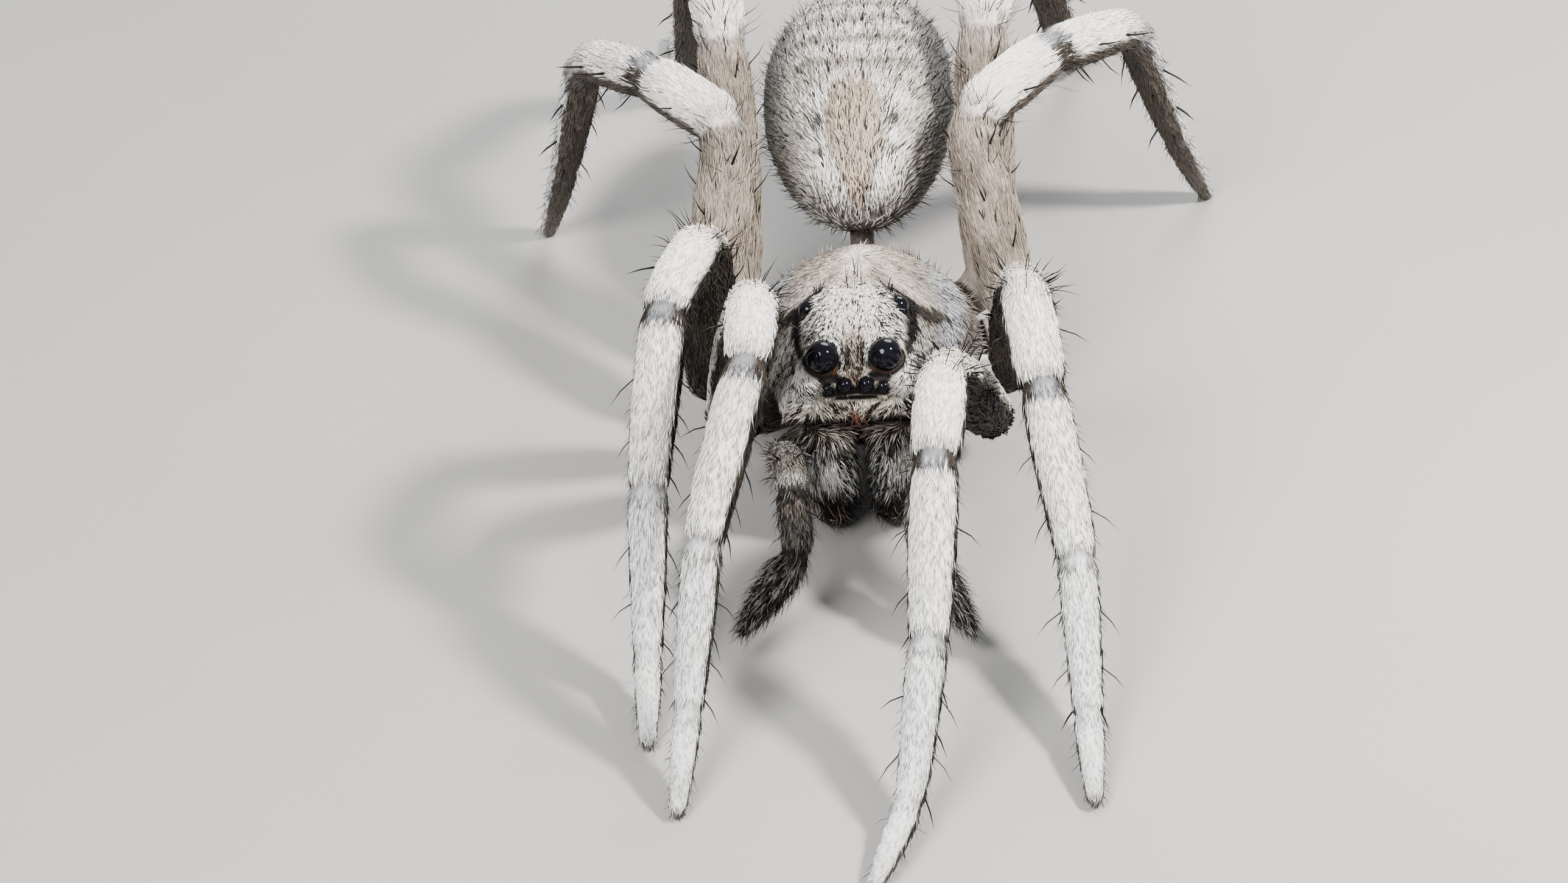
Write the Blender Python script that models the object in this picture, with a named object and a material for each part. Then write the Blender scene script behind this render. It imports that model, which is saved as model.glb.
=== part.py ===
"""Wolf spider, life size, standing still with its head towards -Y.

Sizes below are millimetres in the animal's own frame: X runs to its left, Y to its rear, Z up
from the floor, with Y = 0 at the middle of the carapace. Every size includes the coat of hair.
The finished animal is moved so that the origin lies on the floor below its middle.
"""

from math import cos, pi, radians, sin, sqrt

import bmesh
import bpy
from mathutils import Vector

MM = 0.001
GAP = 0.3
WELD = 0.01
SIDES = (("left", 1), ("right", -1))

# Carapace: y, half width, height of the lower edge, height of the top, squareness, taper
CARAPACE = (
    (-5.75, 2.20, 4.95, 6.40, 3.4, 0.10),
    (-5.60, 2.60, 4.95, 6.95, 3.4, 0.16),
    (-5.35, 2.78, 4.93, 7.40, 3.5, 0.22),
    (-4.95, 2.88, 4.92, 7.88, 3.5, 0.27),
    (-4.30, 3.00, 4.90, 8.22, 3.5, 0.31),
    (-3.50, 3.20, 4.85, 8.45, 3.5, 0.34),
    (-2.60, 3.52, 4.80, 8.55, 3.2, 0.37),
    (-1.50, 3.95, 4.75, 8.36, 2.4, 0.38),
    (-0.30, 4.28, 4.72, 8.05, 2.0, 0.37),
    (1.10, 4.40, 4.70, 7.72, 1.8, 0.35),
    (2.50, 4.12, 4.70, 7.22, 1.8, 0.32),
    (3.70, 3.40, 4.70, 6.58, 1.85, 0.27),
    (4.65, 2.50, 4.72, 5.98, 1.9, 0.20),
    (5.30, 1.70, 4.75, 5.58, 2.0, 0.15),
    (5.62, 1.05, 4.80, 5.28, 2.0, 0.10),
)
CARAPACE_ARC = 26

# Eyes: middle on the animal's left side, radius, room around the ball, facets round and up
EYES = {
    "eye_posterior_median": ((1.15, -5.00, 7.45), 0.60, 0.27, (14, 9)),
    "eye_posterior_lateral": ((1.62, -2.64, 7.90), 0.40, 0.25, (12, 8)),
    "eye_anterior_median": ((0.39, -5.55, 6.55), 0.27, 0.20, (8, 6)),
    "eye_anterior_lateral": ((1.00, -5.48, 6.37), 0.25, 0.20, (8, 6)),
}

# Chelicera: height, middle x, middle y, half width, half depth
CHELICERA = (
    (4.63, 1.14, -4.85, 0.86, 0.85),
    (4.20, 1.17, -4.95, 1.02, 1.07),
    (3.30, 1.18, -5.02, 1.04, 1.18),
    (2.30, 1.18, -5.00, 1.03, 1.10),
    (1.50, 1.16, -4.92, 0.92, 0.95),
    (0.96, 1.10, -4.88, 0.66, 0.72),
)
CHELICERA_SIDES = 14
FANG = (((1.55, -5.05, 0.42), 0.26), ((1.20, -5.35, 0.40), 0.26), ((0.80, -5.35, 0.40), 0.20),
        ((0.45, -5.05, 0.44), 0.10))

# Underside: a block between the coxae, as height, half width, half length
STERNUM_MIDDLE = 0.3
STERNUM = ((4.40, 3.10, 4.20), (3.60, 2.90, 4.00), (2.80, 2.20, 3.20), (2.45, 1.60, 2.50))
STERNUM_SIDES = 20
COXA_HEIGHT = 3.5
COXA_INNER = {1: (1.2, -1.4), 2: (1.5, -0.4), 3: (1.5, 0.9), 4: (1.2, 2.0)}
COXA_RADIUS = (1.00, 0.90)
PALP_COXA = ((1.2, -2.9, 3.1), 0.65, 0.52)
LABIUM = ((0.0, -2.8, 3.0), (0.0, -3.5, 2.9), 0.75, 0.5)

# Abdomen: front and rear, heights of its middle line there, half width and half heights
ABDOMEN_FRONT, ABDOMEN_REAR = 5.95, 17.80
ABDOMEN_FRONT_HEIGHT, ABDOMEN_REAR_HEIGHT = 6.70, 7.20
ABDOMEN_ARCH = 0.45
ABDOMEN_HALF_WIDTH, ABDOMEN_RISE, ABDOMEN_DROP = 3.75, 3.30, 3.30
ABDOMEN_SKEW = 1.12
ABDOMEN_BLUNTNESS = 2.25
ABDOMEN_END = 0.26
ABDOMEN_RINGS, ABDOMEN_SIDES = 13, 22
PEDICEL_RADIUS = 0.5
PEDICEL_RISE_Y = 7.3
PEDICEL_STEPS = 4
# Spinnerets: base radius, end radius and length, then length, root radius and tip radius of each
SPINNERET_BASE = (0.80, 0.66, 0.45)
SPINNERET = (0.95, 0.33, 0.20)
SPINNERET_SPREAD = 14
SPINNERET_SINK = 0.3
SPINNERET_LOWER = 0.1
SPINNERET_SIDES = 8

# Legs: lengths of femur, patella, tibia, metatarsus and tarsus
LEG_LENGTHS = {
    1: (8.5, 4.6, 6.5, 6.0, 3.6),
    2: (8.2, 4.4, 6.4, 6.0, 3.5),
    3: (8.2, 3.9, 5.2, 6.4, 3.8),
    4: (9.4, 4.3, 7.2, 8.8, 4.3),
}
TROCHANTER = 1.3
# Where each left femur begins, and the way its trochanter points, in degrees from straight ahead
LEG_ROOTS = {1: (4.9, -3.8), 2: (5.6, -1.1), 3: (5.8, 1.8), 4: (4.7, 5.2)}
TROCHANTER_WAYS = {1: 42, 2: 75, 3: 105, 4: 140}
# Azimuth and elevation of femur, patella, tibia and metatarsus, then the azimuth of the tarsus.
# Azimuth is in degrees from straight ahead towards the animal's left.
LEG_POSES = {
    (1, "right"): ((30, 68), (0, 5), (-25, -47), (-12, -51), -8),
    (1, "left"): ((-15, 47), (-4, -4), (-6, -46), (-10, -37), -20),
    (2, "right"): ((14, 77), (-17, 0), (-13, -52), (-4, -52), 0),
    (2, "left"): ((9, 60), (8, -24), (12, -42), (2, -32), 2),
    (3, "right"): ((162, 59), (-130, 13), (-145, -17), (-140, -70), -140),
    (3, "left"): ((-163, 51), (126, 20), (140, -15), (138, -70), 138),
    (4, "right"): ((-178, 55), (-173, 22), (-168, -36), (-170, -60), -170),
    (4, "left"): ((178, 54), (170, 23), (166, -36), (168, -60), 168),
}
# Radii at the seven joints, from coxa to tip, and in the middle of the six bones between them
LEG_JOINTS = (0.88, 0.93, 1.00, 1.00, 0.86, 0.66, 0.46)
LEG_MIDDLES = (0.88, 1.20, 1.10, 0.99, 0.79, 0.61)
LEG_GIRTHS = {1: 1.0, 2: 1.0, 3: 1.04, 4: 1.05}
LEG_BEND = 1.4
BEND_SHARE = 0.9
END_STUB = 0.12
# Angles at which the rings of a limb's rounded end stand
END_TURNS = (30, 58, 78)
LEG_BONES = (("femur", 0, 2), ("patella", 2, 3), ("tibia", 3, 4), ("foot", 4, 6))
TIP_HEIGHT = 0.39

# Palps: femur, patella, tibia and tarsus, posed as the legs are
PALP_LENGTHS = (3.9, 1.9, 2.4, 3.3)
PALP_ROOT = (3.05, -4.4, 2.85)
PALP_STUB = (-0.25, 0.45, 0.0)
PALP_POSES = {
    "right": ((9, 32), (5, 4), (8, -58), (-42, -28)),
    "left": ((-9, 32), (-5, 4), (-8, -58), (34, -33)),
}
PALP_JOINTS = (0.50, 0.52, 0.66, 0.66, 0.64, 0.34)
PALP_MIDDLES = (0.50, 0.64, 0.70, 0.72, 0.66)
PALP_BEND = 0.7
PALP_BONES = (("femur", 0, 2), ("patella", 2, 3), ("tibia", 3, 4), ("tarsus", 4, 5))

# Name: base colour, roughness
FINISHES = {
    "pale_hair": ((0.62, 0.60, 0.57), 0.75),
    "leg_hair": ((0.70, 0.70, 0.68), 0.7),
    "dark_hair": ((0.20, 0.17, 0.15), 0.7),
    "eye_gloss": ((0.01, 0.01, 0.012), 0.08),
    "fang_gloss": ((0.03, 0.015, 0.01), 0.2),
}


def clear_scene():
    for obj in list(bpy.data.objects):
        bpy.data.objects.remove(obj, do_unlink=True)


def make_material(name):
    colour, roughness = FINISHES[name]
    material = bpy.data.materials.new(name)
    material.use_nodes = True
    shader = material.node_tree.nodes["Principled BSDF"]
    shader.inputs["Base Color"].default_value = (*colour, 1.0)
    shader.inputs["Roughness"].default_value = roughness
    shader.inputs["Metallic"].default_value = 0.0
    return material


def make_collection(name):
    collection = bpy.data.collections.new(name)
    bpy.context.scene.collection.children.link(collection)
    return collection


class Model:
    """The collection of the finished pieces, their finishes and the empty that carries them."""

    def __init__(self):
        self.parts = make_collection("wolf_spider")
        self.cutters = make_collection("eye_sockets")
        self.materials = {name: make_material(name) for name in FINISHES}
        self.root = bpy.data.objects.new("spider_root", None)
        self.parts.objects.link(self.root)

    def add(self, obj, finish):
        """Keep a piece under the root empty with its finish."""
        for collection in list(obj.users_collection):
            collection.objects.unlink(obj)
        self.parts.objects.link(obj)
        obj.parent = self.root
        obj.data.materials.clear()
        obj.data.materials.append(self.materials[finish])
        return obj


def direction(azimuth, elevation):
    """Unit vector, its azimuth counted from straight ahead (-Y) towards +X."""
    turn, rise = radians(azimuth), radians(elevation)
    return Vector((sin(turn) * cos(rise), -cos(turn) * cos(rise), sin(rise)))


def mirrored(point, sign):
    return Vector((point[0] * sign, point[1], point[2]))


def mesh_object(name, mesh, location=(0, 0, 0)):
    obj = bpy.data.objects.new(name, mesh)
    obj.location = Vector(location) * MM
    bpy.context.scene.collection.objects.link(obj)
    return obj


def loft(name, rings):
    """Closed skin through rings of equal count, with a flat cap on both ends."""
    shape = bmesh.new()
    rows = [[shape.verts.new(Vector(point) * MM) for point in ring] for ring in rings]
    count = len(rings[0])
    for lower, upper in zip(rows, rows[1:]):
        for i in range(count):
            j = (i + 1) % count
            shape.faces.new((lower[i], lower[j], upper[j], upper[i]))
    shape.faces.new(list(reversed(rows[0])))
    shape.faces.new(rows[-1])
    bmesh.ops.recalc_face_normals(shape, faces=shape.faces)
    bmesh.ops.triangulate(shape, faces=shape.faces)
    mesh = bpy.data.meshes.new(name)
    shape.to_mesh(mesh)
    shape.free()
    mesh.shade_smooth()
    return mesh_object(name, mesh)


def ball(name, centre, radius, facets):
    shape = bmesh.new()
    bmesh.ops.create_uvsphere(
        shape, u_segments=facets[0], v_segments=facets[1], radius=radius * MM)
    mesh = bpy.data.meshes.new(name)
    shape.to_mesh(mesh)
    shape.free()
    mesh.shade_smooth()
    return mesh_object(name, mesh, centre)


def cone_between(name, start, end, start_radius, end_radius, sides=12):
    """Cone frustum with its two round faces on the two points."""
    start, end = Vector(start), Vector(end)
    axis = end - start
    shape = bmesh.new()
    bmesh.ops.create_cone(
        shape, cap_ends=True, segments=sides,
        radius1=start_radius * MM, radius2=end_radius * MM, depth=axis.length * MM)
    turn = axis.to_track_quat("Z", "Y").to_matrix().to_4x4()
    bmesh.ops.transform(shape, matrix=turn, verts=shape.verts)
    mesh = bpy.data.meshes.new(name)
    shape.to_mesh(mesh)
    shape.free()
    return mesh_object(name, mesh, (start + end) / 2)


def tube(name, points, radii, resolution=3):
    """Curve of changing radius with filled ends, placed at its first point."""
    curve = bpy.data.curves.new(name, "CURVE")
    curve.dimensions = "3D"
    curve.bevel_depth = MM
    curve.bevel_resolution = resolution
    curve.use_fill_caps = True
    spline = curve.splines.new("POLY")
    spline.points.add(len(points) - 1)
    spline.use_smooth = True
    for knot, point, radius in zip(spline.points, points, radii):
        knot.co = (*((point - points[0]) * MM), 1.0)
        knot.radius = radius
    obj = bpy.data.objects.new(name, curve)
    obj.location = points[0] * MM
    bpy.context.scene.collection.objects.link(obj)
    return obj


def curve_to_mesh(obj):
    """Mesh copy of a curve with its caps welded; the curve is removed."""
    bpy.context.view_layer.update()
    evaluated = obj.evaluated_get(bpy.context.evaluated_depsgraph_get())
    mesh = bpy.data.meshes.new_from_object(evaluated)
    shape = bmesh.new()
    shape.from_mesh(mesh)
    bmesh.ops.remove_doubles(shape, verts=shape.verts, dist=WELD * MM)
    shape.to_mesh(mesh)
    shape.free()
    copy = bpy.data.objects.new(obj.name + "_mesh", mesh)
    copy.matrix_world = obj.matrix_world
    bpy.context.scene.collection.objects.link(copy)
    name = obj.name
    bpy.data.objects.remove(obj)
    copy.name = name
    return copy


def cut_at_floor(obj):
    """Leave a small flat where the piece meets the floor."""
    shape = bmesh.new()
    shape.from_mesh(obj.data)
    floor = -obj.location.z
    cut = bmesh.ops.bisect_plane(
        shape, geom=shape.verts[:] + shape.edges[:] + shape.faces[:],
        plane_co=(0, 0, floor), plane_no=(0, 0, 1), clear_inner=True)
    rim = [item for item in cut["geom_cut"] if isinstance(item, bmesh.types.BMEdge)]
    bmesh.ops.contextual_create(shape, geom=rim)
    bmesh.ops.recalc_face_normals(shape, faces=shape.faces)
    shape.to_mesh(obj.data)
    shape.free()


def union(name, pieces):
    """Fuse closed pieces into one body."""
    first, others = pieces[0], pieces[1:]
    group = make_collection(name + "_pieces")
    for obj in others:
        for collection in list(obj.users_collection):
            collection.objects.unlink(obj)
        group.objects.link(obj)
    fuse = first.modifiers.new("fuse", "BOOLEAN")
    fuse.operation = "UNION"
    fuse.operand_type = "COLLECTION"
    fuse.collection = group
    fuse.solver = "EXACT"
    bpy.context.view_layer.update()
    evaluated = first.evaluated_get(bpy.context.evaluated_depsgraph_get())
    mesh = bpy.data.meshes.new_from_object(evaluated)
    mesh.transform(first.matrix_world)
    for obj in [first] + others:
        bpy.data.objects.remove(obj)
    bpy.data.collections.remove(group)
    return mesh_object(name, mesh)


def bone_profile(start, middle, end, share):
    """Radius at a share of a bone, through its two ends and its middle."""
    return (start * (1 - share) * (1 - 2 * share) + 4 * middle * share * (1 - share)
            + end * share * (2 * share - 1))


def limb_joints(root, stub, bones, poses, tip_height=None):
    """Joints from the stub outwards; the last bone ends at the tip height if one is given."""
    joints = [root + stub, root]
    for length, pose in zip(bones, poses):
        if isinstance(pose, tuple):
            step = direction(*pose) * length
        else:
            drop = tip_height - joints[-1].z
            step = direction(pose, 0) * sqrt(length ** 2 - drop ** 2)
            step.z = drop
        joints.append(joints[-1] + step)
    return joints


def bend_reach(joints, index, bend):
    """How far from a joint its rounded bend begins, kept inside the bone before it."""
    return min(bend, BEND_SHARE * (joints[index] - joints[index - 1]).length)


def bend_point(joints, index, bend, share):
    """Point of the rounded bend at a joint, from its start (0) to its end (1)."""
    joint = joints[index]
    reach = bend_reach(joints, index, bend)
    before = joint + (joints[index - 1] - joint).normalized() * reach
    after = joint + (joints[index + 1] - joint).normalized() * reach
    return before * (1 - share) ** 2 + joint * 2 * share * (1 - share) + after * share ** 2


def bend_half(joints, index, bend, way_out):
    """The half of a bend that leaves its middle (1) or reaches it (-1), half a gap away from it.

    Two points straight along the bend's own way at its middle keep the neighbours' ends parallel.
    """
    middle = bend_point(joints, index, bend, 0.5)
    way = bend_point(joints, index, bend, 1) - bend_point(joints, index, bend, 0)
    way = way.normalized() * way_out
    points = [middle + way * GAP / 2, middle + way * (GAP / 2 + END_STUB)]
    points.append(bend_point(joints, index, bend, 1 if way_out > 0 else 0))
    return points if way_out > 0 else points[::-1]


def bone_points(joints, index, bend):
    """Points along one bone, from the middle of the bend at its root to the middle of the next."""
    start, end = joints[index], joints[index + 1]
    way = (end - start).normalized()
    if index == 0:
        points = [start + way * GAP / 2]
    else:
        points = bend_half(joints, index, bend, 1)
    if index + 2 == len(joints):
        tail = [end]
    else:
        tail = bend_half(joints, index + 1, bend, -1)
    room = (tail[0] - points[-1]).dot(way)
    if room > bend:
        points += [points[-1].lerp(tail[0], share) for share in (1 / 3, 2 / 3)]
    elif room < END_STUB:
        tail = tail[1:]
    return points + tail


def limb_node(name, joints, joint_radii, middle_radii, span, bend):
    """One tube over the bones from one joint to another, with half a gap left at both ends."""
    points, radii = [], []
    for index in range(*span):
        axis = joints[index + 1] - joints[index]
        for point in bone_points(joints, index, bend):
            share = min(1.0, max(0.0, (point - joints[index]).dot(axis) / axis.length_squared))
            points.append(point)
            radii.append(bone_profile(
                joint_radii[index], middle_radii[index], joint_radii[index + 1], share))
    if span[1] + 1 == len(joints):
        way = (points[-1] - points[-2]).normalized()
        end, radius = points[-1], radii[-1]
        for turn in END_TURNS:
            points.append(end + way * radius * sin(radians(turn)))
            radii.append(radius * cos(radians(turn)))
    return tube(name, points, radii)


def carapace_ring(station):
    """Arch of one cross-section from the left edge over the top to the right edge."""
    y, half_width, edge, top, squareness, taper = station
    power = 2 / squareness
    ring = []
    for i in range(CARAPACE_ARC + 1):
        turn = pi * i / CARAPACE_ARC
        rise = abs(sin(turn)) ** power
        reach = abs(cos(turn)) ** power * (1 if turn < pi / 2 else -1)
        ring.append((half_width * (1 - taper * rise) * reach, y, edge + (top - edge) * rise))
    return ring


def make_carapace(model):
    """Head and thorax shield with a socket for each eye."""
    shield = loft("carapace", [carapace_ring(station) for station in CARAPACE])
    for name, (centre, radius, room, facets) in EYES.items():
        for side, sign in SIDES:
            cutter = ball(f"{name}_{side}_socket", mirrored(centre, sign), radius + room, facets)
            for collection in list(cutter.users_collection):
                collection.objects.unlink(cutter)
            model.cutters.objects.link(cutter)
            cutter.parent = model.root
            cutter.hide_render = True
            cutter.display_type = "WIRE"
    sockets = shield.modifiers.new("eye sockets", "BOOLEAN")
    sockets.operation = "DIFFERENCE"
    sockets.operand_type = "COLLECTION"
    sockets.collection = model.cutters
    sockets.solver = "EXACT"
    model.add(shield, "pale_hair")


def make_eyes(model):
    for name, (centre, radius, _room, facets) in EYES.items():
        for side, sign in SIDES:
            model.add(ball(f"{name}_{side}", mirrored(centre, sign), radius, facets), "eye_gloss")


def make_chelicerae(model):
    """Jaw and folded fang on both sides."""
    for side, sign in SIDES:
        rings = []
        for z, x, y, half_width, half_depth in CHELICERA:
            turns = [2 * pi * i / CHELICERA_SIDES for i in range(CHELICERA_SIDES)]
            rings.append([(sign * x + half_width * cos(turn), y + half_depth * sin(turn), z)
                          for turn in turns])
        model.add(loft(f"chelicera_{side}", rings), "dark_hair")
        points = [mirrored(point, sign) for point, _radius in FANG]
        fang = tube(f"fang_{side}", points, [radius for _point, radius in FANG], 2)
        model.add(fang, "fang_gloss")


def leg_root(number, side_sign):
    x, y = LEG_ROOTS[number]
    return Vector((x * side_sign, y, COXA_HEIGHT))


def trochanter_stub(number, side_sign):
    """Step from the start of the femur back to the end of the coxa."""
    return direction(TROCHANTER_WAYS[number] * side_sign, 0) * -TROCHANTER


def make_sternum(model):
    """Underside of the front body with the eight coxae, the palps' coxae and the labium."""
    rings = []
    for z, half_width, half_length in STERNUM:
        turns = [2 * pi * i / STERNUM_SIDES for i in range(STERNUM_SIDES)]
        rings.append([(half_width * cos(turn), STERNUM_MIDDLE + half_length * sin(turn), z)
                      for turn in turns])
    pieces = [loft("sternum_block", rings)]
    for side, sign in SIDES:
        for number, (x, y) in COXA_INNER.items():
            inner = Vector((x * sign, y, COXA_HEIGHT))
            outer = leg_root(number, sign) + trochanter_stub(number, sign)
            outer -= (outer - inner).normalized() * GAP / 2
            pieces.append(cone_between(f"coxa_{number}_{side}", inner, outer, *COXA_RADIUS))
        start, inner_radius, outer_radius = PALP_COXA
        inner = mirrored(start, sign)
        outer = mirrored(PALP_ROOT, sign) + mirrored(PALP_STUB, sign)
        outer -= (outer - inner).normalized() * GAP / 2
        pieces.append(
            cone_between(f"palp_coxa_{side}", inner, outer, inner_radius, outer_radius))
    pieces.append(cone_between("labium", *LABIUM))
    model.add(union("sternum", pieces), "dark_hair")


def make_legs(model):
    for number in LEG_LENGTHS:
        for side, sign in SIDES:
            joints = limb_joints(
                leg_root(number, sign), trochanter_stub(number, sign),
                LEG_LENGTHS[number], LEG_POSES[(number, side)], TIP_HEIGHT)
            girth = LEG_GIRTHS[number]
            ends = [radius * girth for radius in LEG_JOINTS[:-1]] + [LEG_JOINTS[-1]]
            middles = [radius * girth for radius in LEG_MIDDLES]
            for bone, start, end in LEG_BONES:
                node = limb_node(f"leg_{number}_{side}_{bone}", joints, ends, middles,
                                 (start, end), LEG_BEND)
                if bone == "foot":
                    node = curve_to_mesh(node)
                    cut_at_floor(node)
                model.add(node, "leg_hair")


def make_palps(model):
    for side, sign in SIDES:
        joints = limb_joints(mirrored(PALP_ROOT, sign), mirrored(PALP_STUB, sign),
                             PALP_LENGTHS, PALP_POSES[side])
        for bone, start, end in PALP_BONES:
            node = limb_node(f"palp_{side}_{bone}", joints, PALP_JOINTS, PALP_MIDDLES,
                             (start, end), PALP_BEND)
            model.add(node, "dark_hair")


def abdomen_station(share):
    """Height of the middle line and fullness of the abdomen at a share of its length."""
    skewed = share ** ABDOMEN_SKEW
    fullness = sqrt(max(0.0, 1 - abs(2 * skewed - 1) ** ABDOMEN_BLUNTNESS))
    fullness = ABDOMEN_END + (1 - ABDOMEN_END) * fullness
    height = (ABDOMEN_FRONT_HEIGHT * (1 - share) + ABDOMEN_REAR_HEIGHT * share
              + ABDOMEN_ARCH * sin(pi * share))
    return height, fullness


def make_abdomen(model):
    rings = []
    length = ABDOMEN_REAR - ABDOMEN_FRONT
    for i in range(ABDOMEN_RINGS + 1):
        share = (1 - cos(pi * i / ABDOMEN_RINGS)) / 2
        height, fullness = abdomen_station(share)
        ring = []
        for j in range(ABDOMEN_SIDES):
            turn = 2 * pi * j / ABDOMEN_SIDES
            reach = ABDOMEN_RISE if sin(turn) > 0 else ABDOMEN_DROP
            ring.append((ABDOMEN_HALF_WIDTH * fullness * cos(turn),
                         ABDOMEN_FRONT + length * share,
                         height + reach * fullness * sin(turn)))
        rings.append(ring)
    model.add(loft("abdomen", rings), "pale_hair")


def make_pedicel(model):
    """Narrow stalk from the rear of the sternum up to the abdomen's underside."""
    share = (PEDICEL_RISE_Y - ABDOMEN_FRONT) / (ABDOMEN_REAR - ABDOMEN_FRONT)
    height, fullness = abdomen_station(share)
    block_rear = STERNUM_MIDDLE + STERNUM[1][2]
    start = Vector((0, block_rear + GAP, STERNUM[1][0]))
    corner = Vector((0, (start.y + PEDICEL_RISE_Y) / 2, STERNUM[1][0]))
    end = Vector((0, PEDICEL_RISE_Y, height - ABDOMEN_DROP * fullness - GAP))
    points = [start]
    for i in range(PEDICEL_STEPS + 1):
        share = i / PEDICEL_STEPS
        points.append(start.lerp(corner, 0.5) * (1 - share) ** 2
                      + corner * 2 * share * (1 - share) + corner.lerp(end, 0.5) * share ** 2)
    points.append(end)
    model.add(tube("pedicel", points, [PEDICEL_RADIUS] * len(points), 2), "dark_hair")


def make_spinnerets(model):
    """Short base with four cones behind the abdomen."""
    radius, end_radius, base_length = SPINNERET_BASE
    height, _fullness = abdomen_station(1.0)
    start = Vector((0, ABDOMEN_REAR + GAP, height - SPINNERET_LOWER))
    base_end = start + Vector((0, base_length, 0))
    pieces = [cone_between("spinneret_base", start, base_end, radius, end_radius)]
    length, root_radius, tip_radius = SPINNERET
    for side, sign in SIDES:
        for level in (1, -1):
            root = base_end + Vector((sign * root_radius, -SPINNERET_SINK, level * root_radius))
            way = direction(180 - sign * SPINNERET_SPREAD, level * SPINNERET_SPREAD)
            pieces.append(cone_between(f"spinneret_{side}_{level}", root, root + way * length,
                                       root_radius, tip_radius, SPINNERET_SIDES))
    model.add(union("spinnerets", pieces), "dark_hair")


def centre_on_floor(model):
    """Move the root so that the model's middle stands over the origin."""
    bpy.context.view_layer.update()
    graph = bpy.context.evaluated_depsgraph_get()
    lows, highs = [], []
    for obj in model.parts.objects:
        if obj.type == "EMPTY":
            continue
        evaluated = obj.evaluated_get(graph)
        mesh = evaluated.to_mesh()
        places = [obj.matrix_world @ vertex.co for vertex in mesh.vertices]
        evaluated.to_mesh_clear()
        lows.append([min(place[axis] for place in places) for axis in range(3)])
        highs.append([max(place[axis] for place in places) for axis in range(3)])
    for axis in range(2):
        low = min(row[axis] for row in lows)
        high = max(row[axis] for row in highs)
        model.root.location[axis] = -(low + high) / 2
    bpy.context.view_layer.update()


def build():
    clear_scene()
    model = Model()
    make_carapace(model)
    make_eyes(model)
    make_chelicerae(model)
    make_sternum(model)
    make_legs(model)
    make_palps(model)
    make_abdomen(model)
    make_pedicel(model)
    make_spinnerets(model)
    centre_on_floor(model)


build()
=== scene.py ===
# Looks of the wolf spider: skins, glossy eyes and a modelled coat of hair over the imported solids.
# Lengths and places are millimetres in the animal's own frame: X to its left, Y to its rear and
# Z up from the floor, with Y = 0 at the middle of the carapace.
from collections import namedtuple
from math import cos, pi, radians, sin, sqrt

import bmesh
import bpy
import numpy as np
from mathutils import Matrix, Vector


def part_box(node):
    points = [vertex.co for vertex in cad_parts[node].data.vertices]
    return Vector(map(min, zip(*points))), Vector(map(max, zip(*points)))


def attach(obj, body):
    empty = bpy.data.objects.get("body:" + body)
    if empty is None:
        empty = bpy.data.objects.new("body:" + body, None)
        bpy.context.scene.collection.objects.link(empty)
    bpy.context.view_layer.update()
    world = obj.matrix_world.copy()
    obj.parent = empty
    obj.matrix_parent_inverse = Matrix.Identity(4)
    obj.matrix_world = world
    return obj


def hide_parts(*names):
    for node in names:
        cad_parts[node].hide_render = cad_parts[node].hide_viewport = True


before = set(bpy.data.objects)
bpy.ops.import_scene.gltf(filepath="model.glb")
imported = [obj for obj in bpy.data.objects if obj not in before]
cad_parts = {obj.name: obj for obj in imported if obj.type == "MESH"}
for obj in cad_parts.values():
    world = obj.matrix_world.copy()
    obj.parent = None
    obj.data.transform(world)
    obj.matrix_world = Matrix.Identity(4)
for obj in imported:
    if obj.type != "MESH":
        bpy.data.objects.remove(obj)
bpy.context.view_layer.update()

MM = 0.001
SIDES = (("left", 1), ("right", -1))

# Shapes that the solids have too. Carapace: y, half width, edge z, top z, squareness, taper
CARAPACE = (
    (-5.75, 2.20, 4.95, 6.40, 3.4, 0.10),
    (-5.60, 2.60, 4.95, 6.95, 3.4, 0.16),
    (-5.35, 2.78, 4.93, 7.40, 3.5, 0.22),
    (-4.95, 2.88, 4.92, 7.88, 3.5, 0.27),
    (-4.30, 3.00, 4.90, 8.22, 3.5, 0.31),
    (-3.50, 3.20, 4.85, 8.45, 3.5, 0.34),
    (-2.60, 3.52, 4.80, 8.55, 3.2, 0.37),
    (-1.50, 3.95, 4.75, 8.36, 2.4, 0.38),
    (-0.30, 4.28, 4.72, 8.05, 2.0, 0.37),
    (1.10, 4.40, 4.70, 7.72, 1.8, 0.35),
    (2.50, 4.12, 4.70, 7.22, 1.8, 0.32),
    (3.70, 3.40, 4.70, 6.58, 1.85, 0.27),
    (4.65, 2.50, 4.72, 5.98, 1.9, 0.20),
    (5.30, 1.70, 4.75, 5.58, 2.0, 0.15),
    (5.62, 1.05, 4.80, 5.28, 2.0, 0.10),
)
# Eyes on the left side: middle and radius
EYES = {
    "eye_posterior_median": ((1.15, -5.00, 7.45), 0.60),
    "eye_posterior_lateral": ((1.62, -2.64, 7.90), 0.40),
    "eye_anterior_median": ((0.39, -5.55, 6.55), 0.27),
    "eye_anterior_lateral": ((1.00, -5.48, 6.37), 0.25),
}
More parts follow.
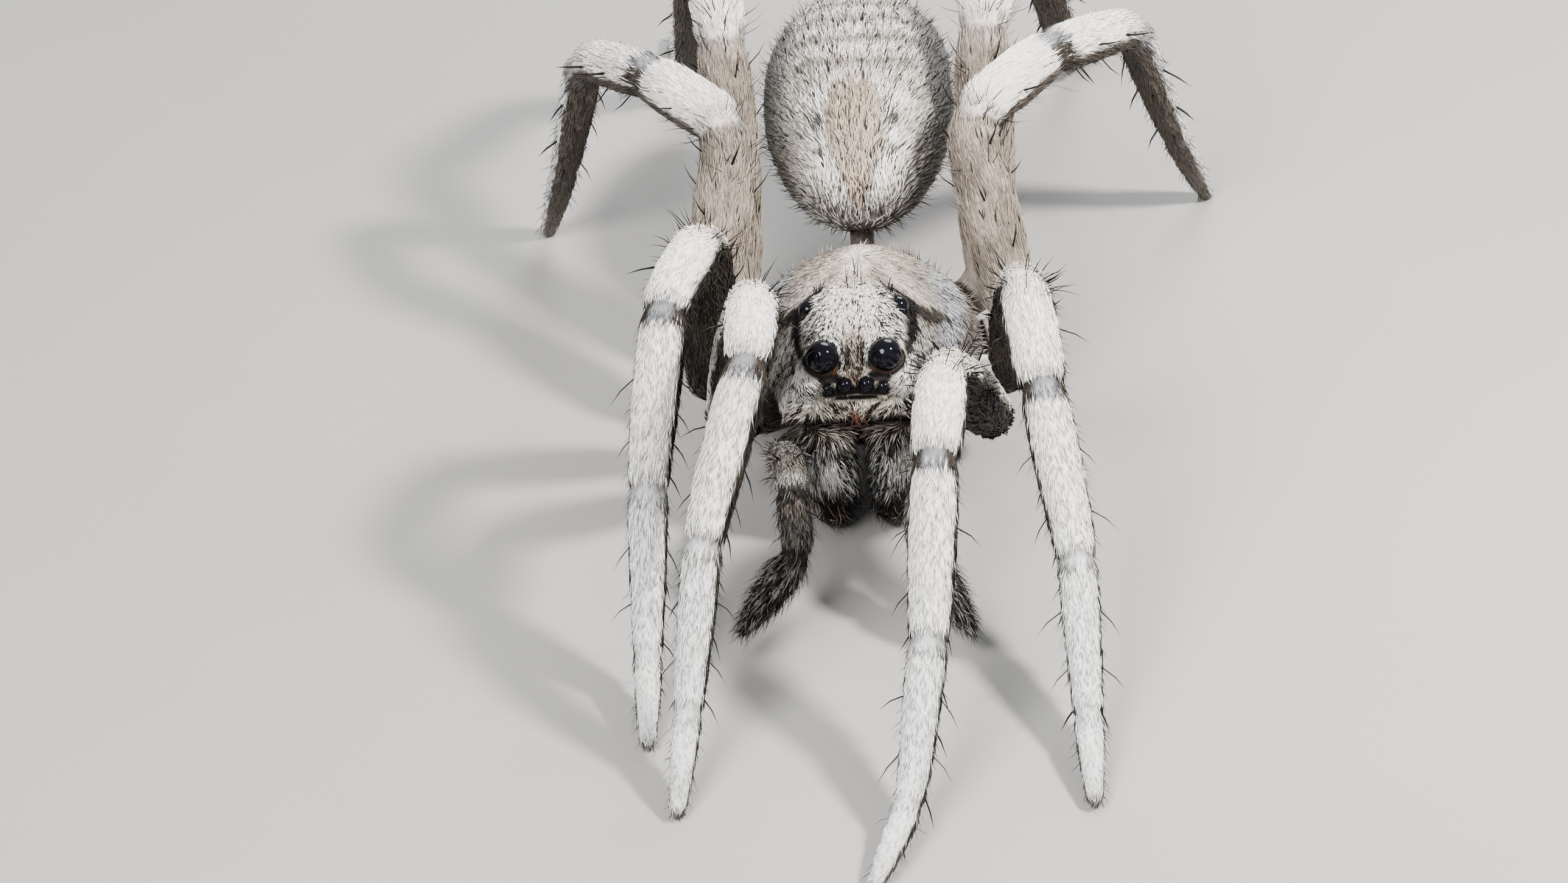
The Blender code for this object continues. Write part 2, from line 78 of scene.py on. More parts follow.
# Chelicera: z, x, y, half width, half depth
CHELICERA = (
    (4.63, 1.14, -4.85, 0.86, 0.85),
    (4.20, 1.17, -4.95, 1.02, 1.07),
    (3.30, 1.18, -5.02, 1.04, 1.18),
    (2.30, 1.18, -5.00, 1.03, 1.10),
    (1.50, 1.16, -4.92, 0.92, 0.95),
    (0.96, 1.10, -4.88, 0.66, 0.72),
)
FANG = (((1.55, -5.05, 0.42), 0.26), ((1.20, -5.35, 0.40), 0.26), ((0.80, -5.35, 0.40), 0.20),
        ((0.45, -5.05, 0.44), 0.10))
STERNUM_MIDDLE = 0.3
STERNUM = ((4.40, 3.10, 4.20), (3.60, 2.90, 4.00), (2.80, 2.20, 3.20), (2.45, 1.60, 2.50))
COXA_HEIGHT = 3.5
COXA_INNER = {1: (1.2, -1.4), 2: (1.5, -0.4), 3: (1.5, 0.9), 4: (1.2, 2.0)}
COXA_RADIUS = (1.00, 0.90)
PALP_COXA = ((1.2, -2.9, 3.1), 0.65, 0.52)
LABIUM = ((0.0, -2.8, 3.0), (0.0, -3.5, 2.9), 0.75, 0.5)
ABDOMEN_FRONT, ABDOMEN_REAR = 5.95, 17.80
ABDOMEN_FRONT_HEIGHT, ABDOMEN_REAR_HEIGHT = 6.70, 7.20
ABDOMEN_ARCH = 0.45
ABDOMEN_HALF_WIDTH, ABDOMEN_RISE, ABDOMEN_DROP = 3.75, 3.30, 3.30
ABDOMEN_SKEW = 1.12
ABDOMEN_BLUNTNESS = 2.25
ABDOMEN_END = 0.26
PEDICEL_RADIUS = 0.5
PEDICEL_RISE_Y = 7.3
SPINNERET_BASE = (0.80, 0.66, 0.45)
SPINNERET = (0.95, 0.33, 0.20)
SPINNERET_SPREAD = 14
SPINNERET_SINK = 0.3
SPINNERET_LOWER = 0.1
# Legs: lengths of femur, patella, tibia, metatarsus and tarsus, then roots, ways and poses
LEG_LENGTHS = {
    1: (8.5, 4.6, 6.5, 6.0, 3.6),
    2: (8.2, 4.4, 6.4, 6.0, 3.5),
    3: (8.2, 3.9, 5.2, 6.4, 3.8),
    4: (9.4, 4.3, 7.2, 8.8, 4.3),
}
TROCHANTER = 1.3
LEG_ROOTS = {1: (4.9, -3.8), 2: (5.6, -1.1), 3: (5.8, 1.8), 4: (4.7, 5.2)}
TROCHANTER_WAYS = {1: 42, 2: 75, 3: 105, 4: 140}
LEG_POSES = {
    (1, "right"): ((30, 68), (0, 5), (-25, -47), (-12, -51), -8),
    (1, "left"): ((-15, 47), (-4, -4), (-6, -46), (-10, -37), -20),
    (2, "right"): ((14, 77), (-17, 0), (-13, -52), (-4, -52), 0),
    (2, "left"): ((9, 60), (8, -24), (12, -42), (2, -32), 2),
    (3, "right"): ((162, 59), (-130, 13), (-145, -17), (-140, -70), -140),
    (3, "left"): ((-163, 51), (126, 20), (140, -15), (138, -70), 138),
    (4, "right"): ((-178, 55), (-173, 22), (-168, -36), (-170, -60), -170),
    (4, "left"): ((178, 54), (170, 23), (166, -36), (168, -60), 168),
}
LEG_JOINTS = (0.88, 0.93, 1.00, 1.00, 0.86, 0.66, 0.46)
LEG_MIDDLES = (0.88, 1.20, 1.10, 0.99, 0.79, 0.61)
LEG_GIRTHS = {1: 1.0, 2: 1.0, 3: 1.04, 4: 1.05}
LEG_BEND = 1.4
BEND_SHARE = 0.9
TIP_HEIGHT = 0.39
LEG_BONES = ("femur", "patella", "tibia", "foot")
PALP_LENGTHS = (3.9, 1.9, 2.4, 3.3)
PALP_ROOT = (3.05, -4.4, 2.85)
PALP_STUB = (-0.25, 0.45, 0.0)
PALP_POSES = {
    "right": ((9, 32), (5, 4), (8, -58), (-42, -28)),
    "left": ((-9, 32), (-5, 4), (-8, -58), (34, -33)),
}
PALP_JOINTS = (0.50, 0.52, 0.66, 0.66, 0.64, 0.34)
PALP_MIDDLES = (0.50, 0.64, 0.70, 0.72, 0.66)
PALP_BEND = 0.7
PALP_BONES = ("femur", "patella", "tibia", "tarsus")

# How far each skin lies inside its solid, so that the coat ends at the solid's surface
DEPTH = {"carapace": 0.16, "chelicera": 0.13, "sternum": 0.14, "leg": 0.17, "palp": 0.13,
         "abdomen": 0.20, "pedicel": 0.06, "spinneret": 0.08}

# The photograph's frame in pixels, and the camera: angles, scale in pixels a millimetre, distance
FRAME_WIDTH, FRAME_HEIGHT = 2576, 1450
CAMERA_RISE, CAMERA_TURN, CAMERA_ROLL = 35, 4, 5
CAMERA_SCALE = 45.5
CAMERA_DISTANCE = 250.0
CAMERA_AIM = (0.0, -5.0, 7.45)
CAMERA_AIM_PIXEL = (1402.5, 584)
SENSOR = 36.0


def srgb(red, green, blue):
    """Scene-linear colour from the 0 to 255 values of a display."""
    share = np.array((red, green, blue)) / 255
    return np.where(share <= 0.04045, share / 12.92, ((share + 0.055) / 1.055) ** 2.4)


WHITE = srgb(236, 233, 228)
CREAM = srgb(222, 214, 200)
PALE_BLUE = srgb(200, 206, 214)
BEIGE = srgb(183, 171, 159)
TAN = srgb(150, 129, 109)
GREY = srgb(130, 127, 124)
STEEL = srgb(162, 161, 159)
BROWN_GREY = srgb(97, 88, 81)
WARM_BROWN = srgb(142, 127, 113)
JOINT_GREY = srgb(96, 99, 109)
OLIVE_BLACK = srgb(44, 39, 33)
BLACK = srgb(16, 14, 13)
SOOT = BLACK * 1.6
ORANGE = srgb(168, 102, 48)
RUST = srgb(120, 72, 58)


def unit(vectors):
    return vectors / np.maximum(np.linalg.norm(vectors, axis=-1, keepdims=True), 1e-12)


def away_from(place, points):
    return np.linalg.norm(points - place, axis=-1)


def half_axes(points):
    """Distance from the middle plane, y and z of each point."""
    return np.abs(points[..., 0]), points[..., 1], points[..., 2]


def smooth(low, high, value):
    """0 below low, 1 above high, and a soft step between."""
    share = np.clip((value - low) / (high - low), 0, 1)
    return share * share * (3 - 2 * share)


def bump(value, width):
    """1 at 0, falling off to both sides."""
    return np.exp(-(value / width) ** 2)


def blend(base, *layers):
    """Rows of values moved towards each layer's value by its share, one layer after another."""
    for value, share in layers:
        base = base + (value - base) * np.asarray(share)[..., None]
    return base


class Cloud:
    """Soft random field through space, between -1 and 1."""

    SIZE = 24

    def __init__(self, seed):
        rng = np.random.default_rng(seed)
        self.table = rng.uniform(-1, 1, (self.SIZE,) * 3)

    def at(self, points, grain):
        spots = np.asarray(points) / grain
        cell = np.floor(spots).astype(int)
        part = spots - cell
        part = part * part * (3 - 2 * part)
        total = 0
        for corner in np.ndindex(2, 2, 2):
            index = (cell + corner) % self.SIZE
            weight = np.prod(np.where(corner, part, 1 - part), axis=-1)
            total = total + weight * self.table[index[..., 0], index[..., 1], index[..., 2]]
        return total


CLOUD = Cloud(7)


def catmull(values, at):
    """Smooth rows of values, read at fractional places along them."""
    values = np.asarray(values, float)
    first = np.clip(at.astype(int), 0, len(values) - 2)
    t = (at - first)[:, None]
    padded = np.vstack([2 * values[0] - values[1], values, 2 * values[-1] - values[-2]])
    a, b, c, d = (padded[first + k] for k in range(4))
    return 0.5 * (2 * b + (c - a) * t + (2 * a - 5 * b + 4 * c - d) * t ** 2
                  + (3 * b - a - 3 * c + d) * t ** 3)


def lengths_along(path):
    steps = np.linalg.norm(np.diff(path, axis=0), axis=1)
    return np.concatenate([[0], np.cumsum(steps)])


def even_places(path, step):
    """Fractional indices of points that lie one step apart along a dense path."""
    lengths = lengths_along(path)
    count = max(2, round(lengths[-1] / step) + 1)
    return np.interp(np.linspace(0, lengths[-1], count), lengths, np.arange(len(path)))


def read_rows(rows, places):
    """Rows of numbers read at fractional indices."""
    index = np.arange(len(rows))
    return np.stack([np.interp(places, index, column) for column in np.transpose(rows)], axis=1)


def evenly(path, count):
    """An open path with its points spread evenly."""
    lengths = lengths_along(path)
    at = np.linspace(0, lengths[-1], count)
    return np.stack([np.interp(at, lengths, column) for column in path.T], axis=1)


def soften(grid, rounds):
    """A grid of rows round an axis, evened out with its neighbours; its end rows stay."""
    for _round in range(rounds):
        grid = (np.roll(grid, 1, axis=1) + 2 * grid + np.roll(grid, -1, axis=1)) / 4
        grid[1:-1] = (grid[:-2] + 2 * grid[1:-1] + grid[2:]) / 4
    return grid


CORNER_ROUNDS = 8
# Free edge of a sheet's map, and the room that its strip takes up
MAP_EDGE, MAP_ROOM = 0.02, 0.95


class Sheet:
    """A closed skin as rows of points round an axis, with what its hair needs to know."""

    def __init__(self, points, depth=0.0, strip=(0.0, 1.0), way=(0.0, 1.0, 0.0)):
        self.points = points
        self.turned = False
        self.normals = self.find_normals()
        outward = points - points.mean(axis=1, keepdims=True)
        if (self.normals * outward).sum() < 0:
            self.turned = True
            self.normals = -self.normals
        if depth:
            self.points = points - unit(soften(self.normals, CORNER_ROUNDS)) * depth
            self.renew_normals()
        self.strip = strip
        self.marks = None
        self.fields = {"way": np.broadcast_to(way, points.shape)}

    def find_normals(self):
        along = np.gradient(self.points, axis=0)
        around = np.roll(self.points, -1, axis=1) - np.roll(self.points, 1, axis=1)
        return unit(np.cross(around, along))

    def renew_normals(self):
        self.normals = self.find_normals() * (-1 if self.turned else 1)

    def field(self, name):
        return self.fields[name]

    def map_places(self, row, column):
        """Place of grid rows and columns on the sheet's own unwrapped strip."""
        rows, columns = self.points.shape[:2]
        low, high = self.strip
        row, column = np.broadcast_arrays(row, column)
        return np.stack([low + (high - low) * (MAP_EDGE + MAP_ROOM * column / columns),
                         MAP_EDGE + MAP_ROOM * row / (rows - 1)], axis=-1)


def strips(count):
    """Side by side shares of the map for several sheets of one piece."""
    return [(k / count, (k + 1) / count) for k in range(count)]


HAIR_SPECULAR = 0.2
NOISE_DETAIL = 3.0


def node_material(name, roughness, specular, noise_scale):
    """New finish with its noise through the object's own space."""
    material = bpy.data.materials.new(name)
    material.use_nodes = True
    tree = material.node_tree
    shader = tree.nodes["Principled BSDF"]
    shader.inputs["Roughness"].default_value = roughness
    shader.inputs["Specular IOR Level"].default_value = specular
    place = tree.nodes.new("ShaderNodeTexCoord")
    grain = tree.nodes.new("ShaderNodeTexNoise")
    grain.inputs["Scale"].default_value = noise_scale
    grain.inputs["Detail"].default_value = NOISE_DETAIL
    tree.links.new(place.outputs["Object"], grain.inputs["Vector"])
    return material, tree, shader, grain.outputs["Fac"]


def tint_material(name, roughness, grain_size, bump_height, low, high):
    """Finish whose colour is each point's tint, varied by a fine grain that is also its relief."""
    material, tree, shader, grain = node_material(name, roughness, HAIR_SPECULAR,
                                                  1 / (grain_size * MM))
    tint = tree.nodes.new("ShaderNodeVertexColor")
    tint.layer_name = "tint"
    level = tree.nodes.new("ShaderNodeMapRange")
    level.inputs["To Min"].default_value = low
    level.inputs["To Max"].default_value = high
    mix = tree.nodes.new("ShaderNodeVectorMath")
    mix.operation = "SCALE"
    relief = tree.nodes.new("ShaderNodeBump")
    relief.inputs["Distance"].default_value = bump_height * MM
    for source, target in ((grain, level.inputs["Value"]), (tint.outputs["Color"], mix.inputs[0]),
                           (level.outputs["Result"], mix.inputs["Scale"]),
                           (mix.outputs["Vector"], shader.inputs["Base Color"]),
                           (grain, relief.inputs["Height"]),
                           (relief.outputs["Normal"], shader.inputs["Normal"])):
        tree.links.new(source, target)
    return material


def ramp_material(name, roughness, specular, noise_scale, colours):
    """Finish that varies softly between two colours."""
    material, tree, shader, grain = node_material(name, roughness, specular, noise_scale)
    ramp = tree.nodes.new("ShaderNodeValToRGB")
    for element, colour in zip(ramp.color_ramp.elements, colours):
        element.color = (*colour, 1)
    tree.links.new(grain, ramp.inputs["Fac"])
    tree.links.new(ramp.outputs["Color"], shader.inputs["Base Color"])
    return material


# Hair and skin: name, roughness, size of the grain, its relief, darkest and brightest share.
# The others: name, roughness, specular level, scale of the noise and the two colours
MATERIALS = {
    "skin": tint_material("haired_skin", 0.62, 0.09, 0.03, 0.65, 1.25),
    "coat": tint_material("coat_hair", 0.55, 0.05, 0.004, 0.85, 1.12),
    "eye": ramp_material("eye_gloss", 0.05, 0.2, 900,
                         ((0.002, 0.002, 0.003), (0.004, 0.004, 0.007))),
    "fang": ramp_material("fang_gloss", 0.22, 0.5, 2500,
                          ((0.004, 0.003, 0.002), (0.014, 0.007, 0.005))),
}


def add_object(name, data):
    obj = bpy.data.objects.new(name, data)
    bpy.context.scene.collection.objects.link(obj)
    return obj


def finish_piece(piece, nodes=()):
    """Ride on the body and stand for its nodes."""
    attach(piece, "root")
    if nodes:
        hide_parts(*nodes)


def add_skin(name, sheets, colours, nodes, material="skin"):
    """Piece from closed sheets with a tint on each point, in place of solids."""
    points, tints, faces = [], [], []
    start = 0
    for sheet, tint in zip(sheets, colours):
        rows, columns = sheet.points.shape[:2]
        index = start + np.arange(rows * columns).reshape(rows, columns)
        nxt = np.roll(index, -1, axis=1)
        quads = np.stack([index[:-1], nxt[:-1], nxt[1:], index[1:]], axis=-1).reshape(-1, 4)
        row, column = np.meshgrid(np.arange(rows - 1), np.arange(columns), indexing="ij")
        corners = [(row, column), (row, column + 1), (row + 1, column + 1), (row + 1, column)]
        places = np.stack([sheet.map_places(r, c) for r, c in corners], axis=2).reshape(-1, 4, 2)
        if sheet.turned:
            quads, places = quads[:, ::-1], places[:, ::-1]
        points += [sheet.points.reshape(-1, 3)]
        tints += [tint.reshape(-1, 3)]
        faces += [(quads, places)]
        start += rows * columns
        for end, ring in ((0, index[0]), (-1, index[-1])):
            middle = start
            points += [sheet.points[end].mean(axis=0, keepdims=True)]
            tints += [tint[end].mean(axis=0, keepdims=True)]
            start += 1
            fan = np.stack([np.full(columns, middle), ring, np.roll(ring, -1)], axis=-1)
            column = np.arange(columns)
            at = (rows - 1) * (end == -1)
            place = np.stack([sheet.map_places(at, column + 0.5), sheet.map_places(at, column),
                              sheet.map_places(at, column + 1)], axis=1)
            if (end == 0) != sheet.turned:
                fan, place = fan[:, ::-1], place[:, ::-1]
            faces += [(fan, place)]
    piece = build_mesh(name, np.vstack(points), faces, np.vstack(tints), material)
    finish_piece(piece, nodes)


def build_mesh(name, points, faces, tints, material):
    """Mesh object from point rows and groups of faces that share a count of corners."""
    mesh = bpy.data.meshes.new(name)
    mesh.vertices.add(len(points))
    mesh.vertices.foreach_set("co", ((points + SHIFT) * MM).astype(np.float32).ravel())
    corners = np.concatenate([group.ravel() for group, _places in faces])
    sizes = np.concatenate([np.full(len(group), group.shape[1]) for group, _places in faces])
    mesh.loops.add(len(corners))
    mesh.loops.foreach_set("vertex_index", corners.astype(np.int32))
    mesh.polygons.add(len(sizes))
    starts = np.concatenate([[0], np.cumsum(sizes)[:-1]])
    mesh.polygons.foreach_set("loop_start", starts.astype(np.int32))
    mesh.polygons.foreach_set("loop_total", sizes.astype(np.int32))
    mesh.update(calc_edges=True)
    layer = mesh.uv_layers.new(name="OFBake")
    places = np.concatenate([place.reshape(-1, 2) for _group, place in faces])
    layer.data.foreach_set("uv", places.astype(np.float32).ravel())
    tint = mesh.color_attributes.new(name="tint", type="FLOAT_COLOR", domain="POINT")
    full = np.ones((len(points), 4), np.float32)
    full[:, :3] = tints
    tint.data.foreach_set("color", full.ravel())
    mesh.shade_smooth()
    mesh.materials.append(MATERIALS[material])
    return add_object(name, mesh)


# Root, middle and tip of a hair: its faces by vertex, where the vertices lie on its map patch,
# and how bright its middle and tip are beside the root's painted shade
HAIR_FACES = ((0, 2, 1), (0, 1, 4, 3), (1, 2, 5, 4), (2, 0, 3, 5), (3, 4, 6), (4, 5, 6), (5, 3, 6))
HAIR_MAP = np.array(((0.0, 0.0), (0.003, 0.0), (0.0015, 0.001), (0.0, 0.0015), (0.003, 0.0015),
                     (0.0015, 0.002), (0.0015, 0.003)))
MIDDLE_LEVELS, TIP_LEVEL = (0.95, 0.95, 1.0), 1.05
# How hairs of a kind vary: length, width, lift and brightness as shares, turn in radians
LENGTH_RANGE, WIDTH_RANGE, LIFT_RANGE = (0.75, 1.25), (0.8, 1.2), (0.6, 1.4)
BRIGHTNESS_RANGE = (0.5, 1.5)
TURN_SPREAD = 0.14
# Thickness of a hair's middle, and how much of its curl is in the inner half
MIDDLE_THICKNESS, MIDDLE_CURL = 0.85, 0.25
# How deep roots lie in the skin, and the lowest place that hairs may reach
ROOT_SINK, LOWEST = 0.05, 0.02
# Kinds of hair: length, width, lift from the skin in degrees, spread of the curls or the curls
# themselves, share of the lift left in the outer half, brightness at the root as painted shade, its
# variation
Hair = namedtuple("Hair", "length width lift curl settle shade vary",
                  defaults=(0.0, 0.25, 0.55, 0.12))
HAIRS = {
    "thorax": Hair(0.52, 0.048, 13, 0.2, shade=0.65, vary=0.15),
    "head": Hair(0.46, 0.038, 19, 0.25, shade=0.50, vary=0.18),
    "brow": Hair(0.42, 0.054, 24, 0.3, 0.2, 1),
    "comb": Hair(0.68, 0.050, 24, 0.5, -0.5, 1),
    "crest": Hair(1.0, 0.045, 40, 0.7, -0.2, 1),
    "top": Hair(1.0, 0.032, 74, 0.3, 0.85, 1),
    "bridge": Hair(0.58, 0.052, 15, 0.15, shade=1),
    "temple": Hair(1.2, 0.044, 36, 0.0, 0.5, 1),
    "mouth": Hair(0.75, 0.034, 40, 0.0, 0.5, 1),
    "jaw": Hair(0.66, 0.052, 17, 0.12, shade=0.5, vary=0.22),
    "gap": Hair(0.60, 0.05, 34, 0.2, 0.5),
    "jaw_bristle": Hair(0.95, 0.034, 34, 0.4, 0.3),
    "fang_bristle": Hair(1.25, 0.042, 34, 0.4, 0.3),
    "leg": Hair(0.70, 0.066, 10, 0.15, shade=0.85),
    "leg_fringe": Hair(0.6, 0.03, 42, 0.3, 0.7, 1),
    "knee": Hair(1.25, 0.038, 62, 0.2, 0.8, 1),
    "leg_spine": Hair(1.25, 0.085, 48, 0.0, 0.75, 1),
    "palp": Hair(0.42, 0.045, 17, 0.2, shade=0.45, vary=0.18),
    "palp_fringe": Hair(0.80, 0.030, 34, 0.3, 0.6),
    "palp_spine": Hair(0.75, 0.065, 55, 0.0, 0.7, 1),
    "abdomen": Hair(0.68, 0.075, 14, 0.2),
    "abdomen_bristle": Hair(0.8, 0.03, 45, 0.3, 0.7, 1),
    "underside": Hair(0.5, 0.07, 14, 0.2),
    "rear": Hair(0.35, 0.04, 15),
}


class Coat:
    """Hairs for one piece, kept as rows until they are built into one mesh."""

    def __init__(self, seed):
        self.rng = np.random.default_rng(seed)
        self.points, self.tints, self.maps = [], [], []

    def spread(self, sheet, count, weight=None):
        """Roots spread over a sheet by area and weight."""
        p = sheet.points
        around = np.roll(p, -1, axis=1)
        area = np.linalg.norm(np.cross(p[1:] - around[:-1], around[1:] - p[:-1]), axis=-1) / 2
        if weight is not None:
            area = area * weight[:-1]
        total = np.cumsum(area.ravel())
        order = (np.arange(count) + self.rng.random(count)) / count * total[-1]
        cell = np.minimum(np.searchsorted(total, order), area.size - 1)
        row, column = np.unravel_index(cell, area.shape)
        a, b = self.rng.random((2, count))
        return Roots(sheet, row, column, a, b)

    def add(self, roots, kind, tint, ways=None, fit=None, **changes):
        """Hairs of a kind, with changes to it, from their roots along the ways or the sheet's own
        way. A fit may bend hairs or drop them."""
        hair = HAIRS[kind]._replace(**changes)
        rng, count = self.rng, len(roots.points)
        curl = hair.curl
        if np.isscalar(curl):
            curl = rng.normal(0, curl, count) if curl else np.zeros(count)
        length = np.broadcast_to(hair.length, count) * rng.uniform(*LENGTH_RANGE, count)
        width = np.broadcast_to(hair.width, count) * rng.uniform(*WIDTH_RANGE, count)
        lift = np.broadcast_to(hair.lift, count) * rng.uniform(*LIFT_RANGE, count)
        curl, lift = curl[:, None], np.radians(lift)[:, None]
        normal = roots.normals
        way = roots.lay_down(roots.field("way") if ways is None else ways)
        side = unit(np.cross(way, normal))
        way = unit(way + side * rng.normal(0, TURN_SPREAD, count)[:, None])
        side = unit(np.cross(way, normal))
        first = way * np.cos(lift) + normal * np.sin(lift)
        second = way * np.cos(lift * hair.settle) + normal * np.sin(lift * hair.settle)
        up = unit(np.cross(side, first))
        half = length[:, None] / 2
        base = roots.points - normal * ROOT_SINK
        middle = base + first * half + side * curl * half * MIDDLE_CURL
        tip = middle + second * half + side * curl * half
        sound = np.ones(count, bool)
        if fit:
            middle, tip, sound = fit(base, middle, tip)
        thick = width[:, None] / 2
        ring = (side * thick, -side * thick, up * thick)
        rows = [base + offset for offset in ring]
        rows += [middle + offset * MIDDLE_THICKNESS for offset in ring]
        points = np.stack(rows + [tip], axis=1)
        brightness = rng.normal(1, hair.vary, (count, 1, 1)).clip(*BRIGHTNESS_RANGE)
        # Each hair darkens towards its root as painted shade deep in the coat
        levels = np.array((hair.shade,) * 3 + MIDDLE_LEVELS + (TIP_LEVEL,))[:, None]
        tints = np.clip(np.broadcast_to(tint, (count, 3))[:, None] * brightness * levels, 0, 1)
        self.points.append(points[sound])
        self.tints.append(tints[sound])
        self.maps.append(roots.map[sound])

    def build(self, name, nodes=()):
        """The piece of all the hairs, none of which reaches the floor."""
        points, tints, maps = map(np.concatenate, (self.points, self.tints, self.maps))
        points[..., 2] = np.maximum(points[..., 2], LOWEST)
        start = np.arange(len(points))[:, None] * points.shape[1]
        faces = [(start + np.array(face), maps[:, None] + HAIR_MAP[list(face)])
                 for face in sorted(HAIR_FACES, key=len)]
        finish_piece(build_mesh(f"{name}_coat", points.reshape(-1, 3), faces, tints.reshape(-1, 3),
                                "coat"), nodes)


class Roots:
    """Places on a sheet where hairs stand, with the sheet's own fields read there."""

    def __init__(self, sheet, row, column, a, b):
        self.sheet = sheet
        self.marks = sheet.marks
        self.corners = (row, column, a[:, None], b[:, None])
        self.points = self.read(sheet.points)
        self.normals = unit(self.read(sheet.normals))
        self.map = sheet.map_places(row + a, column + b)

    def read(self, grid):
        row, column, a, b = self.corners
        nxt = (column + 1) % grid.shape[1]
        values = grid if grid.ndim == 3 else grid[..., None]
        found = ((values[row, column] * (1 - b) + values[row, nxt] * b) * (1 - a)
                 + (values[row + 1, column] * (1 - b) + values[row + 1, nxt] * b) * a)
        return found if grid.ndim == 3 else found[:, 0]

    def field(self, name):
        values = self.sheet.fields[name]
        if name == "turn":
            return np.arctan2(self.read(np.sin(values)), self.read(np.cos(values)))
        return self.read(values)

    def lay_down(self, ways):
        """Unit ways that lie flat on the skin."""
        ways = np.broadcast_to(ways, self.points.shape)
        return unit(ways - (ways * self.normals).sum(axis=1, keepdims=True) * self.normals)

    def under_middles(self, ways, length):
        """Places under the hairs' middles, where their colour is seen."""
        return self.points + self.lay_down(ways) * (0.5 * np.reshape(length, (-1, 1)))


def direction(azimuth, elevation):
    """Unit vector, its azimuth counted from straight ahead (-Y) towards +X."""
    turn, rise = radians(azimuth), radians(elevation)
    return np.array((sin(turn) * cos(rise), -cos(turn) * cos(rise), sin(rise)))


def mirrored(point, sign):
    return np.array((point[0] * sign, point[1], point[2]))


def frame_shift():
    """Where the animal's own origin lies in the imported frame, found from its two big eyes."""
    name = "eye_posterior_median"
    corners = [corner for side, _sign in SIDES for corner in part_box(f"{name}_{side}")]
    middle = np.mean([tuple(corner) for corner in corners], axis=0) / MM
    centre = EYES[name][0]
    return np.array((middle[0], middle[1] - centre[1], 0.0))


SHIFT = frame_shift()


def make_camera():
    """The photograph's view."""
    turn, roll = radians(CAMERA_TURN), radians(CAMERA_ROLL)
    back = direction(CAMERA_TURN, CAMERA_RISE)
    right = np.array((cos(turn), sin(turn), 0))
    up = np.cross(back, right)
    right, up = right * cos(roll) - up * sin(roll), up * cos(roll) + right * sin(roll)
    focal = CAMERA_SCALE * CAMERA_DISTANCE
    place = (np.array(CAMERA_AIM) + back * CAMERA_DISTANCE
             - right * ((CAMERA_AIM_PIXEL[0] - FRAME_WIDTH / 2) / focal * CAMERA_DISTANCE)
             + up * ((CAMERA_AIM_PIXEL[1] - FRAME_HEIGHT / 2) / focal * CAMERA_DISTANCE))
    place = (place + SHIFT) * MM
    data = bpy.data.cameras.new("camera")
    data.sensor_width = SENSOR
    data.lens = focal / FRAME_WIDTH * SENSOR
    data.clip_start = 0.001
    data.clip_end = 10
    camera = add_object("camera", data)
    camera.matrix_world = Matrix([(*(axis[k] for axis in (right, up, back)), place[k])
                                  for k in range(3)] + [(0, 0, 0, 1)])
    bpy.context.scene.camera = camera


# Rows and columns of the skins, and how their ends are closed
DENSE = 1500
SKIN_STEP = 0.075
ARCH_COLUMNS, FLOOR_COLUMNS = 136, 24
CAP_MIDDLE, CAP_REACH = 0.45, 2.2
CAP_START, CAP_ROUNDS = 0.03, 5
CHELICERA_ROWS, CHELICERA_COLUMNS = 60, 48
ABDOMEN_ROWS, ABDOMEN_COLUMNS = 110, 128
STERNUM_ROWS, STERNUM_COLUMNS = 28, 72
CONE_ROWS, CONE_COLUMNS = 18, 28
TUBE_ROWS, TUBE_COLUMNS = 30, 24
LEG_COLUMNS, PALP_COLUMNS = 40, 32
LIMB_STEP = 0.12
BEND_POINTS = 24
TIP_ROWS, TIP_SHARE = 6, 0.97


def spread_rows(rows, count):
    """Smooth rows of values at a number of evenly spread places."""
    return catmull(rows, np.linspace(0, len(rows) - 1, count))


def full_turn(columns):
    return np.linspace(0, 2 * pi, columns, endpoint=False)


def quadratic(start, corner, end, count):
    """Curve from start to end that leans towards a corner."""
    share = np.linspace(0, 1, count)[:, None]
    return start * (1 - share) ** 2 + corner * 2 * share * (1 - share) + end * share ** 2


def closing_rows(ring, middle, count, from_middle):
    """Rings that shrink from an end ring to its middle, without either end."""
    shares = np.linspace(CAP_START, 1, count, endpoint=False)
    rows = [middle + (ring - middle) * share for share in shares]
    return rows if from_middle else rows[::-1]


def close_ends(rings, first_count, last_count):
    """Grid of rings that is closed at both ends and softened."""
    rows = closing_rows(rings[0], rings[0].mean(axis=0), first_count, True) + rings
    rows += closing_rows(rings[-1], rings[-1].mean(axis=0), last_count, False)
    return soften(np.array(rows), CAP_ROUNDS)


def level_rings(stations, columns):
    """Level oval rings from rows of x, y, z and the half widths along X and Y."""
    turn = full_turn(columns)
    return [np.stack([x + half_x * np.cos(turn), y + half_y * np.sin(turn), np.full_like(turn, z)],
                     axis=1) for x, y, z, half_x, half_y in stations]


def tube(middle, radius, first, second, columns):
    """Grid of rings round a middle line, each turning from its first way to its second one."""
    turn = full_turn(columns)[:, None]
    first, second = np.atleast_2d(first)[:, None], np.atleast_2d(second)[:, None]
    ring = first * np.cos(turn) + second * np.sin(turn)
    return middle[:, None] + ring * np.reshape(radius, (-1, 1, 1))


